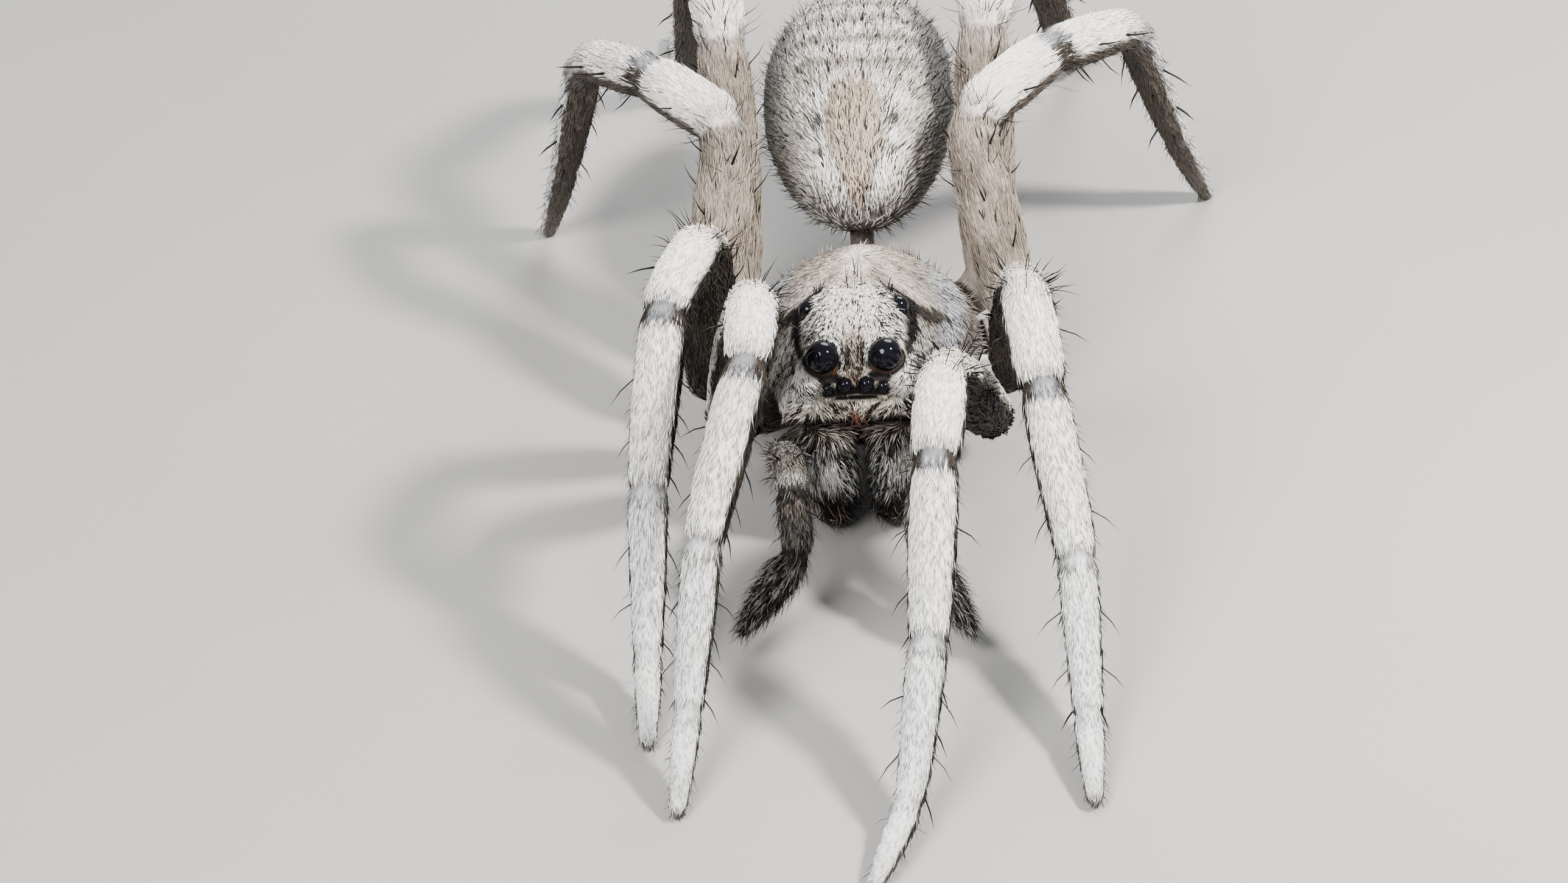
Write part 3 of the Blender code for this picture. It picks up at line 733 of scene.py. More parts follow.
def carapace_sheet():
    """Shield of head and thorax with a rounded, closed front."""
    dense = spread_rows(CARAPACE, DENSE)
    stations = read_rows(dense, even_places(dense[:, (0, 3)], SKIN_STEP))
    turn = np.linspace(0, pi, DENSE // 3)
    rings = []
    for y, half_width, edge, top, squareness, taper in stations:
        power = 2 / squareness
        rise = np.abs(np.sin(turn)) ** power
        reach = np.abs(np.cos(turn)) ** power * np.sign(np.cos(turn))
        arch = np.stack([half_width * (1 - taper * rise) * reach, np.full_like(turn, y),
                         edge + (top - edge) * rise], axis=1)
        arch = evenly(arch, ARCH_COLUMNS)
        below = np.linspace(arch[-1], arch[0], FLOOR_COLUMNS + 2)[1:-1]
        rings.append(np.vstack([arch, below]))
    front, rear = rings[0], rings[-1]
    low, high = front[:, 2].min(), front[:, 2].max()
    middle = np.array((0, front[0, 1], low + CAP_MIDDLE * (high - low)))
    rows = closing_rows(front, middle, round(CAP_REACH / SKIN_STEP), True) + rings
    rows += closing_rows(rear, rear.mean(axis=0), 5, False)
    sheet = Sheet(soften(np.array(rows), CORNER_ROUNDS), DEPTH["carapace"])
    raise_eye_rims(sheet)
    return sheet


EYE_RIM_HEIGHT, EYE_RIM_WIDTH = 0.07, 0.09
# Dent in the middle of the thorax: x, y, half length, half width and depth
FOVEA = (0.0, 2.3, 0.75, 0.16, 0.12)


def eye_list(kind="eye"):
    """Name, middle and radius of each eye of a kind."""
    return [(f"{name}_{side}", mirrored(centre, sign), radius)
            for name, (centre, radius) in EYES.items() for side, sign in SIDES if kind in name]


def raise_eye_rims(sheet):
    """A low collar of skin round each eye, and the dent in the middle of the thorax."""
    for _name, centre, radius in eye_list():
        distance = away_from(centre, sheet.points)
        rim = bump(distance - radius - EYE_RIM_WIDTH * 0.7, EYE_RIM_WIDTH)
        sheet.points += sheet.normals * (rim * EYE_RIM_HEIGHT)[..., None]
    x, y, half_length, half_width, dent = FOVEA
    dent = dent * bump(sheet.points[..., 0] - x, half_width)
    dent = dent * bump(sheet.points[..., 1] - y, half_length) * (sheet.normals[..., 2] > 0)
    sheet.points -= sheet.normals * dent[..., None]
    sheet.renew_normals()


def chelicera_sheet(sign):
    stations = spread_rows(CHELICERA, CHELICERA_ROWS)
    rings = level_rings([(sign * x, y, z, half_width, half_depth)
                         for z, x, y, half_width, half_depth in stations], CHELICERA_COLUMNS)
    return Sheet(close_ends(rings, 5, 6), DEPTH["chelicera"])


def abdomen_station(share):
    """Height of the middle line and fullness of the abdomen at a share of its length."""
    off_middle = np.abs(2 * share ** ABDOMEN_SKEW - 1)
    fullness = np.sqrt(np.maximum(0, 1 - off_middle ** ABDOMEN_BLUNTNESS))
    fullness = ABDOMEN_END + (1 - ABDOMEN_END) * fullness
    height = (ABDOMEN_FRONT_HEIGHT * (1 - share) + ABDOMEN_REAR_HEIGHT * share
              + ABDOMEN_ARCH * np.sin(pi * share))
    return height, fullness


def abdomen_sheet():
    turn = full_turn(ABDOMEN_COLUMNS)
    reach = np.where(np.sin(turn) > 0, ABDOMEN_RISE, ABDOMEN_DROP)
    rings = []
    for share in (1 - np.cos(np.linspace(0, pi, ABDOMEN_ROWS))) / 2:
        height, fullness = abdomen_station(share)
        y = ABDOMEN_FRONT + (ABDOMEN_REAR - ABDOMEN_FRONT) * share
        rings.append(np.stack([ABDOMEN_HALF_WIDTH * fullness * np.cos(turn),
                               np.full_like(turn, y),
                               height + reach * fullness * np.sin(turn)], axis=1))
    return Sheet(close_ends(rings, 8, 8), DEPTH["abdomen"])


def bone_profile(start, middle, end, share):
    """Radius at a share of a bone, through its two ends and its middle."""
    return (start * (1 - share) * (1 - 2 * share) + 4 * middle * share * (1 - share)
            + end * share * (2 * share - 1))


def limb_joints(root, stub, bones, poses, tip_height=None):
    """Joints from the stub outwards; the last bone ends at the tip height if one is given."""
    joints = [root + stub, root]
    for length, pose in zip(bones, poses):
        if isinstance(pose, tuple):
            step = direction(*pose) * length
        else:
            drop = tip_height - joints[-1][2]
            step = direction(pose, 0) * sqrt(length ** 2 - drop ** 2)
            step[2] = drop
        joints.append(joints[-1] + step)
    return np.array(joints)


def limb_path(joints, bend):
    """Dense middle line of a limb, and its length at each joint's rounded bend."""
    path, marks = [joints[0]], [0]
    for last, joint, following in zip(joints, joints[1:], joints[2:]):
        reach = min(bend, BEND_SHARE * np.linalg.norm(joint - last))
        before = joint + unit(last - joint) * reach
        after = joint + unit(following - joint) * reach
        marks.append(len(path) + BEND_POINTS)
        path += list(quadratic(before, joint, after, 2 * BEND_POINTS + 1))
    path.append(joints[-1])
    marks.append(len(path) - 1)
    path = np.array(path)
    return path, lengths_along(path)[marks]


# How long the narrowing at a joint is before it. Past each joint: its depth and length
JOINT_EDGE = 0.32
LEG_PINCHES = ((0.10, 0.5), (0.10, 0.5), (0.20, 0.8), (0.14, 0.6), (0.10, 0.4))
PALP_PINCHES = ((0.08, 0.3), (0.10, 0.3), (0.16, 0.4), (0.12, 0.3))


def limb_sheet(joints, bend, joint_radii, middle_radii, columns, depth, pinches):
    """Skin of a whole limb: rings along its bent middle line, narrower at the joints.

    Fields: along, the bone number and the share of it; turn, the angle from the limb's upper
    side; way, the direction to the tip; run, the length from the root; left and passed, the
    lengths to the next joint and from the last one.
    """
    path, marks = limb_path(joints, bend)
    lengths = lengths_along(path)
    at = np.linspace(0, lengths[-1], round(lengths[-1] / LIMB_STEP))
    middle = evenly(path, len(at))
    bone = np.clip(np.searchsorted(marks, at, side="right") - 1, 0, len(marks) - 2)
    share = (at - marks[bone]) / (marks[bone + 1] - marks[bone])
    starts, middles, ends = (np.array(values)[bone] for values in
                             (joint_radii[:-1], middle_radii, joint_radii[1:]))
    radius = bone_profile(starts, middles, ends, share) - depth
    for mark, (pinch, width) in zip(marks[1:-1], pinches):
        past = np.exp(-np.maximum(at - mark, 0) / width) * smooth(-JOINT_EDGE, 0, at - mark)
        radius *= 1 - pinch * past
    way = unit(np.gradient(middle, axis=0))
    tips = np.linspace(0, pi / 2, TIP_ROWS + 1)[1:] * TIP_SHARE
    middle = np.vstack([middle, middle[-1] + way[-1] * radius[-1] * np.sin(tips)[:, None]])
    radius = np.concatenate([radius, radius[-1] * np.cos(tips)])
    way = np.vstack([way, np.repeat(way[-1:], TIP_ROWS, axis=0)])
    upper = unit(np.array((0, 0, 1)) - way[:, 2:] * way)
    sheet = Sheet(tube(middle, radius, upper, np.cross(way, upper), columns), way=way[:, None])
    run = np.concatenate([at, np.full(TIP_ROWS, at[-1])])
    last = np.searchsorted(marks[1:-1], run, side="right")
    rows = {"along": np.concatenate([bone + share, np.full(TIP_ROWS, len(marks) - 1.0)]),
            "run": run, "left": marks[last + 1] - run, "passed": run - marks[last]}
    shape = sheet.points.shape[:2]
    for name, row in rows.items():
        sheet.fields[name] = np.broadcast_to(row[:, None], shape)
    sheet.fields["turn"] = np.broadcast_to(full_turn(columns), shape)
    sheet.marks = marks
    return sheet


def leg_root(number, sign):
    """A leg's root, and the step from it back along the trochanter."""
    root = np.array((LEG_ROOTS[number][0] * sign, LEG_ROOTS[number][1], COXA_HEIGHT))
    return root, direction(TROCHANTER_WAYS[number] * sign, 0) * -TROCHANTER


def leg_sheet(number, side, sign):
    joints = limb_joints(*leg_root(number, sign), LEG_LENGTHS[number], LEG_POSES[(number, side)],
                         TIP_HEIGHT)
    girth = LEG_GIRTHS[number]
    ends = [radius * girth for radius in LEG_JOINTS[:-1]] + [LEG_JOINTS[-1]]
    middles = [radius * girth for radius in LEG_MIDDLES]
    return limb_sheet(joints, LEG_BEND, ends, middles, LEG_COLUMNS, DEPTH["leg"], LEG_PINCHES)


def palp_sheet(side, sign):
    joints = limb_joints(mirrored(PALP_ROOT, sign), mirrored(PALP_STUB, sign), PALP_LENGTHS,
                         PALP_POSES[side])
    return limb_sheet(joints, PALP_BEND, PALP_JOINTS, PALP_MIDDLES, PALP_COLUMNS, DEPTH["palp"],
                      PALP_PINCHES)


# Dome at a stub's end: where it starts as a share of the stub, its size squared, least roundness
DOME_START, DOME_SIZE, DOME_END = 0.88, 0.0149, 0.03


def cone_sheet(start, end, start_radius, end_radius, depth, strip):
    """Round stub between two points, with a dome at its end."""
    start, end = np.array(start), np.array(end)
    way = unit(end - start)
    side = unit(np.cross(way, (0, 0, 1)))
    share = np.linspace(0, 1, CONE_ROWS)
    radius = (start_radius + (end_radius - start_radius) * share) - depth
    dome = np.maximum(0, share - DOME_START) ** 2 / DOME_SIZE
    radius = radius * np.sqrt(np.clip(1 - dome, DOME_END, 1))
    middle = start + (end - start) * share[:, None]
    points = tube(middle, radius, side, np.cross(side, way), CONE_COLUMNS)
    return Sheet(points, strip=strip, way=way)


def sternum_sheets():
    """The block between the coxae, the coxae of legs and palps, and the labium."""
    cones = []
    for _side, sign in SIDES:
        for number, inner in COXA_INNER.items():
            root, stub = leg_root(number, sign)
            cones.append((mirrored((*inner, COXA_HEIGHT), sign), root + stub, *COXA_RADIUS,
                          DEPTH["sternum"]))
        start, *radii = PALP_COXA
        cones.append((mirrored(start, sign), mirrored(PALP_ROOT, sign) + mirrored(PALP_STUB, sign),
                      *radii, DEPTH["palp"]))
    cones.append((*LABIUM, DEPTH["palp"]))
    parts = strips(1 + len(cones))
    rings = level_rings([(0, STERNUM_MIDDLE, *station)
                         for station in spread_rows(STERNUM, STERNUM_ROWS)], STERNUM_COLUMNS)
    block = Sheet(close_ends(rings, 8, 10), DEPTH["sternum"], parts[0])
    return [block] + [cone_sheet(*cone, part) for cone, part in zip(cones, parts[1:])]


# Gap between neighbouring solids, which a skin bridges
GAP = 0.3
SPINNERET_DEPTH = 0.05
# A fang's skin as a share of its solid's radius, at the root and at the tip
FANG_NARROWING = (0.85, 0.5)


def pedicel_sheet():
    share = (PEDICEL_RISE_Y - ABDOMEN_FRONT) / (ABDOMEN_REAR - ABDOMEN_FRONT)
    height, fullness = abdomen_station(share)
    start = np.array((0, STERNUM_MIDDLE + STERNUM[1][2] + GAP, STERNUM[1][0]))
    corner = np.array((0, (start[1] + PEDICEL_RISE_Y) / 2, STERNUM[1][0]))
    end = np.array((0, PEDICEL_RISE_Y, height - ABDOMEN_DROP * fullness + GAP))
    middle = quadratic(start - (0, 2 * GAP, 0), corner, end, TUBE_ROWS)
    way = unit(np.gradient(middle, axis=0))
    side = np.array((1.0, 0, 0))
    radius = PEDICEL_RADIUS - DEPTH["pedicel"]
    points = tube(middle, radius, side, np.cross(side, way), TUBE_COLUMNS)
    return Sheet(points, way=way[:, None])


def spinneret_sheets():
    radius, end_radius, base_length = SPINNERET_BASE
    height, _fullness = abdomen_station(1.0)
    start = np.array((0, ABDOMEN_REAR, height - SPINNERET_LOWER))
    base_end = start + (0, base_length + GAP, 0)
    cones = [(start - (0, GAP, 0), base_end, radius, end_radius, DEPTH["spinneret"])]
    length, root_radius, tip_radius = SPINNERET
    for _side, sign in SIDES:
        for level in (1, -1):
            root = base_end + (sign * root_radius, -SPINNERET_SINK, level * root_radius)
            way = direction(180 - sign * SPINNERET_SPREAD, level * SPINNERET_SPREAD)
            cones.append((root, root + way * length, root_radius, tip_radius, SPINNERET_DEPTH))
    return [cone_sheet(*cone, part) for cone, part in zip(cones, strips(len(cones)))]


def fang_sheet(sign):
    values = spread_rows([(*mirrored(point, sign), radius) for point, radius in FANG], TUBE_ROWS)
    middle = values[:, :3]
    radius = values[:, 3] * np.linspace(*FANG_NARROWING, TUBE_ROWS)
    way = unit(np.gradient(middle, axis=0))
    side = unit(np.cross(way, (0, 1.0, 0)))
    return Sheet(tube(middle, radius, side, np.cross(side, way), TUBE_COLUMNS))


def to_segment(points, start, end):
    """Distance from each point, folded to the left side, to a segment."""
    folded = np.array(points)
    folded[..., 0] = np.abs(folded[..., 0])
    start, end = np.array(start), np.array(end)
    axis = end - start
    share = np.clip(((folded - start) @ axis) / max(axis @ axis, 1e-9), 0, 1)
    return np.linalg.norm(folded - start - share[..., None] * axis, axis=-1)


SPOT_EDGE, SPOT_GRAIN = (1.15, 0.75), 0.14


def spot(points, start, end, radius, ragged=0.35):
    """1 inside a long spot with a ragged edge, 0 outside."""
    edge = radius * (1 + ragged * CLOUD.at(points, SPOT_GRAIN))
    return smooth(*SPOT_EDGE, to_segment(points, start, end) / edge)


# Marks beside the head, each a segment on the left side, a radius, a strength and a colour
HEAD_MARKS = (
    ((1.35, -0.45, 7.75), (3.10, -0.75, 6.10), 0.30, 0.35, CREAM),
    ((1.95, -2.00, 7.50), (2.75, -1.55, 6.60), 0.46, 0.80, BROWN_GREY),
    ((1.45, -1.20, 7.95), (2.00, -1.50, 7.50), 0.34, 1.0, OLIVE_BLACK),
    ((1.95, -1.85, 7.65), (2.45, -1.65, 7.00), 0.50, 1.0, BLACK),
    ((2.45, -1.60, 7.00), (2.95, -1.20, 6.35), 0.38, 0.95, OLIVE_BLACK),
    ((1.95, -2.30, 7.65), (2.12, -3.10, 7.38), 0.42, 1.0, BLACK),
    ((2.12, -3.10, 7.38), (2.00, -3.74, 7.36), 0.33, 1.0, BLACK),
    ((2.00, -3.74, 7.36), (1.95, -4.38, 7.22), 0.22, 0.95, BLACK),
    ((2.76, -0.80, 6.48), (3.31, -0.65, 5.84), 0.22, 0.95, OLIVE_BLACK),
    ((3.20, 1.05, 5.98), (3.46, 1.28, 5.57), 0.20, 0.60, BROWN_GREY),
    ((3.65, -0.40, 5.45), (3.90, 0.60, 5.20), 0.18, 0.45, BROWN_GREY),
)
# Bare black skin between and under the small eyes, with the haired gap in it
BARE_PARTS = (
    ((0.0, -5.60, 6.48), (1.05, -5.45, 6.36), 0.34),
    ((0.62, -5.50, 6.85), (1.15, -5.45, 6.75), 0.20),
    ((0.0, -5.60, 6.03), (1.50, -5.45, 6.03), 0.10),
    ((1.50, -5.52, 6.03), (2.30, -5.30, 5.80), 0.10),
)
PALE_GAPS = ((0.68, -5.60, 6.62), (0.71, -5.60, 6.44), 0.09)
# Bare skin round an eye: above a big one, more below it, round a small one, outside a rear one
RIM_ABOVE, RIM_BELOW, RIM_SMALL, RIM_OUTSIDE = 0.035, 0.20, 0.08, 0.12
# Orange spot at the inner corner of a big eye, and the thin amber line in the bare skin under it:
# distance from the lens and width
EYE_CORNER = ((0.60, -5.42, 7.18), (0.73, -5.50, 6.99), 0.08)
AMBER_RING = (0.085, 0.030)
THORAX_STREAKS = 9


def carapace_tint(points):
    """Markings of the head and thorax, with painted shade in the side bands and painted shadow
    under the lip.
    """
    x, y, z = half_axes(points)
    cloud, fine = CLOUD.at(points, 0.55), CLOUD.at(points, 0.16)
    angle = np.arctan2(x, y - FOVEA[1])
    streak = smooth(0.15, 0.9, np.cos(angle * THORAX_STREAKS) + 0.5 * cloud)
    away = smooth(0.5, 1.4, np.hypot(x, y - FOVEA[1])) * smooth(-2.2, -0.8, y)
    line = smooth(0.65, 0.2, x + 0.15 * cloud) * smooth(-0.9, 0.2, y)
    # A pale band low on each side, tinted blue and darkened as painted cool shade
    pale_band_cool_shade = bump(z - 5.70 + 0.12 * cloud, 0.60) * smooth(-3.6, -2.0, y) * smooth(2.2, 2.9, x)
    margin = smooth(5.25, 4.95, z + 0.08 * fine) * smooth(-4.2, -2.6, y)
    brow = smooth(-0.9, -2.1, y + 0.25 * cloud) * smooth(1.92, 1.68, x) * smooth(6.7, 7.2, z)
    cheek = smooth(-2.1, -3.1, y) * smooth(7.5, 6.9, z) * smooth(1.2, 1.6, x)
    middle = smooth(0.52, 0.26, x + 0.08 * fine) * smooth(-3.9, -4.6, y) * smooth(6.5, 6.8, z)
    lip = smooth(6.0, 5.85, z) * smooth(-5.0, -5.4, y)
    marks = [(colour, spot(points, start, end, radius) * strength)
             for start, end, radius, strength, colour in HEAD_MARKS]
    amber = []
    for _name, centre, radius in eye_list("posterior_median"):
        distance = away_from(centre, points) - radius
        lower = smooth(0.1, -0.4, (z - centre[2]) / radius)
        amber.append((ORANGE * 0.10, bump(distance - AMBER_RING[0], AMBER_RING[1]) * lower))
    return blend(BEIGE, (GREY, smooth(0.9, 3.0, x + 0.3 * cloud) * 0.7),
                 (BROWN_GREY, streak * away * 0.45), (WHITE, line * 0.6),
                 (PALE_BLUE * 0.66, pale_band_cool_shade * 0.85), (BROWN_GREY, margin * 0.85),
                 (WHITE * 1.08, brow), (WHITE, cheek * (0.75 + 0.25 * smooth(-4.0, -4.6, y))),
                 (TAN * 1.25, middle * 0.75), (CREAM * 1.1, lip * 0.95), *marks,
                 (BLACK, bare_skin_and_lip_shadow(points)), *amber,
                 (ORANGE * 0.5, spot(points, *EYE_CORNER) * 0.7))


def bare_skin_and_lip_shadow(points):
    """Share of bare black skin round the small eyes, under their row and round the big eyes, and of
    painted shadow along the face's lower edge under the lip.
    """
    dark = np.max([spot(points, *part, 0.15) for part in BARE_PARTS], axis=0)
    bridge = smooth(0.24, 0.16, np.abs(points[..., 0])) * smooth(6.55, 6.70, points[..., 2])
    dark = dark * (1 - spot(points, *PALE_GAPS, 0.2)) * (1 - bridge)
    for name, centre, radius in eye_list():
        offset = (points - centre) / radius
        distance = np.linalg.norm(offset, axis=-1) * radius
        if "posterior_lateral" in name:
            room = RIM_OUTSIDE * smooth(-0.2, 0.5, offset[..., 0] * np.sign(centre[0])) + 0.01
        elif "posterior_median" in name:
            room = RIM_ABOVE + RIM_BELOW * smooth(0.25, -0.45, offset[..., 2])
        else:
            room = RIM_SMALL
        dark = np.maximum(dark, 1 - smooth(radius + room * 0.7, radius + room, distance))
    # Painted shadow along the face's lower edge, under the lip
    edge = smooth(5.22, 5.10, points[..., 2]) * smooth(-5.2, -5.45, points[..., 1])
    return np.maximum(dark, edge)


def bare_of_hair(points):
    """How free of hair the bare skin is: nearly bare at the eyes, less so under the small ones."""
    low = smooth(6.2, 6.05, points[..., 2]) * smooth(5.5, 5.7, points[..., 2])
    return 0.95 - 0.6 * low


def dark_share(points):
    """How many of the head's hairs are dark: between the big eyes, on the cheeks, on the lip."""
    x, y, z = half_axes(points)
    share = (0.06 + 0.20 * smooth(-4.0, -4.9, y) * smooth(0.7, 0.4, x) * smooth(6.6, 6.9, z)
             + 0.20 * smooth(7.6, 6.9, z) * smooth(1.3, 1.8, x) * smooth(-2.0, -3.0, y)
             + 0.08 * smooth(1.9, 2.3, x) * smooth(-0.8, -2.0, y)
             + 0.42 * smooth(6.0, 5.85, z) * smooth(-5.2, -5.4, y))
    return share * (0.25 + 2.4 * smooth(0.0, 0.5, CLOUD.at(points, 0.11)))


# Where the hair parts round a big front eye: room beside the lens, and how far out it is felt
PART_ROOM, PART_REACH = 0.12, 1.0


def around_eyes(points, ways):
    """The lie of the hair, parted round each big front eye as a stream is round a post."""
    for _name, centre, radius in eye_list("posterior_median"):
        offset = points - centre
        distance = np.linalg.norm(offset, axis=-1, keepdims=True)
        out = offset / np.maximum(distance, 1e-6)
        pull = np.clip(((radius + PART_ROOM) / distance) ** 2, 0, 1)
        pull = pull * (distance < radius + PART_REACH)
        ways = ways - pull * (2 * (ways * out).sum(axis=-1, keepdims=True) * out - ways)
    return ways


def rows_of(*columns):
    """Rows from three columns, each an array or one number for all."""
    return np.stack(np.broadcast_arrays(*columns), axis=-1)


LIP_PART = (1.25, 1.70)


def carapace_flow(points):
    """The lie of the hair on head and thorax: out from the thorax's middle, down the face, and
    on the lip towards the jaws' gap."""
    x, y, z = points.T
    side, out = np.sign(x), np.abs(x)
    ways = unit(rows_of(x, y - FOVEA[1] + 0.6, 0.0))
    beside = smooth(0.7, 1.6, out) * smooth(-1.5, -2.1, y) * smooth(-4.6, -3.9, y)
    cheek = smooth(1.8, 2.2, out) * smooth(-2.4, -3.4, y) * smooth(7.1, 6.6, z)
    under = (smooth(1.1, 1.4, out) * smooth(2.5, 2.2, out) * smooth(7.0, 6.6, z)
             * smooth(-4.3, -4.8, y))
    lip = smooth(-5.2, -5.45, y) * smooth(6.05, 5.9, z)
    inward = (1.65 * smooth(*LIP_PART, out) - 0.75) * side * smooth(0.05, 0.4, out)
    for way, share in (((side, -0.35, 0), beside * 0.8), ((-0.15 * side, -0.75, -0.65), cheek),
                       ((0.12 * x, -0.15, -1), smooth(-4.7, -5.3, y)),
                       ((-0.75 * side, 0, -0.8), under), ((inward, 0, -0.8), lip)):
        ways = unit(blend(ways, (rows_of(*way), share)))
    return around_eyes(points, ways)


# How deep in a ball hairs may run and still be bent over it, and the room left above it
BEND_DEPTH, LENS_ROOM = 0.10, 0.025


def over_eyes(base, middle, tip):
    """Hairs bent over the eyes that they only graze; those that would pierce one are dropped. The
    brow's own hair may lie over the inner half of the rear eyes and the big eyes' upper rims."""
    sound = np.ones(len(base), bool)
    for name, centre, radius in eye_list():
        sound &= away_from(centre, base) > radius
        depth = np.full(len(base), BEND_DEPTH if "posterior" in name else 0.0)
        if "posterior_lateral" in name:
            depth += (base - centre)[:, 0] * np.sign(centre[0]) < -0.5 * radius
        if "posterior_median" in name:
            depth += BEND_DEPTH * ((base - centre)[:, 2] > 0.4 * radius)
        for spots in (middle, tip):
            offset = spots - centre
            distance = np.linalg.norm(offset, axis=1)
            inner = radius + LENS_ROOM - distance
            sound &= inner < depth
            spots += offset * (np.maximum(inner, 0) / distance)[:, None]
    return middle, tip, sound


def pick_dark(rng, tint, share, colour=SOOT):
    """Tints with a random share of hairs turned dark, or another colour."""
    dark = rng.random(len(tint)) < share
    return np.where(dark[:, None], colour, tint)


def nearest_roots(sheet, places):
    """Roots at the grid points nearest to given places."""
    flat = sheet.points.reshape(-1, 3)
    found = [np.argmin(away_from(place, flat)) for place in places]
    row, column = np.unravel_index(found, sheet.points.shape[:2])
    zero = np.zeros(len(found))
    return Roots(sheet, np.minimum(row, sheet.points.shape[0] - 2), column, zero, zero)


# How bright the skin is beside its hair: mostly, on the thorax and on the legs
# The skin is darker than its hair, partly by its own colour and partly as painted shade between the
# hairs
SKIN_SHADE, THORAX_SKIN_SHADE, LEG_SKIN_SHADE = 0.42, 0.62, 0.85
CROWN_HAIRS, FACE_HAIRS, THORAX_HAIRS = 10500, 11500, 12500
HEAD_REAR = -1.7
FACE_EDGE = (-3.9, -4.3)
LIP_FRONT, LIP_TOP = -5.3, 5.95


def dress_carapace():
    """Skin and hair of the head and thorax."""
    sheet = carapace_sheet()
    y = sheet.points[..., 1]
    shade = SKIN_SHADE + (THORAX_SKIN_SHADE - SKIN_SHADE) * smooth(-1.6, -0.6, y)
    tint = carapace_tint(sheet.points) * shade[..., None]
    add_skin("carapace_skin", [sheet], [tint], ["carapace"])
    above = sheet.normals[..., 2] > -0.35
    haired = (1 - bare_skin_and_lip_shadow(sheet.points) * bare_of_hair(sheet.points)) * above
    face = smooth(*FACE_EDGE, y)
    crown = smooth(HEAD_REAR + 0.4, HEAD_REAR - 0.4, y) * (1 - face)
    for name, seed, count, share, add_bristles in (
            ("crown", 11, CROWN_HAIRS, crown, add_crown_bristles),
            ("face", 13, FACE_HAIRS, face, add_face_bristles)):
        coat = Coat(seed)
        add_head_hair(coat, sheet, count, haired * share)
        add_bristles(coat, sheet)
        coat.build(name, ["carapace"])
    coat = Coat(12)
    roots = coat.spread(sheet, THORAX_HAIRS, above * smooth(HEAD_REAR - 0.5, HEAD_REAR + 0.5, y))
    ways = carapace_flow(roots.points)
    tint = carapace_tint(roots.under_middles(ways, HAIRS["thorax"].length))
    tint = pick_dark(coat.rng, tint, 0.03 + 0.1 * smooth(2.4, 3.4, np.abs(roots.points[:, 0])))
    coat.add(roots, "thorax", tint, ways, over_eyes)
    coat.build("thorax", ["carapace"])


def on_lip(points):
    return (points[..., 1] < LIP_FRONT) & (points[..., 2] < LIP_TOP)


def add_head_hair(coat, sheet, count, weight):
    """Short hair of the head: shortest round the front eyes, thin and sparse on the lip."""
    sparse = 0.75 * smooth(5.22, 5.38, sheet.points[..., 2])
    roots = coat.spread(sheet, count, weight * np.where(on_lip(sheet.points), sparse, 1))
    p = roots.points
    near = [away_from(centre, p) - radius for name, centre, radius in eye_list()
            if "posterior_lateral" not in name]
    near += [to_segment(p, *part[:2]) for part in BARE_PARTS]
    lip = on_lip(p)
    length = np.where(lip, 0.48, 0.24 + 0.22 * smooth(0.10, 0.6, np.min(near, axis=0)))
    ways = carapace_flow(p)
    tint = carapace_tint(roots.under_middles(ways, length))
    coat.add(roots, "head", pick_dark(coat.rng, tint, dark_share(p)), ways, over_eyes,
             length=length, width=np.where(lip, 0.036, 0.038), lift=np.where(lip, 22, 19))


BROW_BRISTLES, COMB_BRISTLES, CREST_BRISTLES = 560, 60, 10
CREST = (1.32, -1.55, 7.95)
# Fine erect hairs on the head's top
TOP_HAIRS = ((-0.20, -1.90, 8.4), (0.03, -2.15, 8.4), (-0.08, -0.60, 8.1), (0.02, -0.45, 8.1),
             (0.10, -0.75, 8.1), (-0.30, -1.10, 8.2), (0.28, -1.30, 8.2))


def add_crown_bristles(coat, sheet):
    """Dark bristles of the brow: short strokes along it, a comb of curved ones towards its sides,
    a curled crest behind each rear eye and fine erect hairs on the top."""
    rng = coat.rng
    x, y, _z = half_axes(sheet.points)
    up = sheet.normals[..., 2] > 0.3
    roots = coat.spread(sheet, BROW_BRISTLES, up & (y < -1.3) & (y > -4.9) & (x < 1.6))
    coat.add(roots, "brow", BLACK, carapace_flow(roots.points), over_eyes)
    for _side, sign in SIDES:
        beside = up & (sheet.points[..., 0] * sign > 0.75) & (x < 1.5) & (y < -2.0) & (y > -4.35)
        roots = coat.spread(sheet, COMB_BRISTLES, beside)
        coat.add(roots, "comb", BLACK, (sign, -0.15, 0.0), over_eyes,
                 curl=sign * rng.uniform(0.1, 0.9, COMB_BRISTLES))
        places = mirrored(CREST, sign) + rng.normal(0, 0.09, (CREST_BRISTLES, 3))
        turns = rng.uniform(-1.4, 1.7, CREST_BRISTLES)
        ways = rows_of(-sign * np.cos(turns), -np.sin(turns), 0.0)
        coat.add(nearest_roots(sheet, places), "crest", BLACK, ways, over_eyes,
                 curl=sign * rng.uniform(0.3, 1.2, CREST_BRISTLES))
    roots = nearest_roots(sheet, TOP_HAIRS)
    coat.add(roots, "top", OLIVE_BLACK, -carapace_flow(roots.points))


BRIDGE_STREAKS = 95
MOUTH_BRISTLES = 9
MOUTH = (0.25, -5.62, 5.42)
TEMPLE_BRISTLES = ((1.95, -4.20, 7.25), (2.05, -4.30, 7.05), (2.0, -4.45, 7.0), (2.1, -4.20, 6.9),
                   (2.05, -4.70, 6.8), (2.2, -4.5, 6.5), (1.95, -5.05, 6.6))


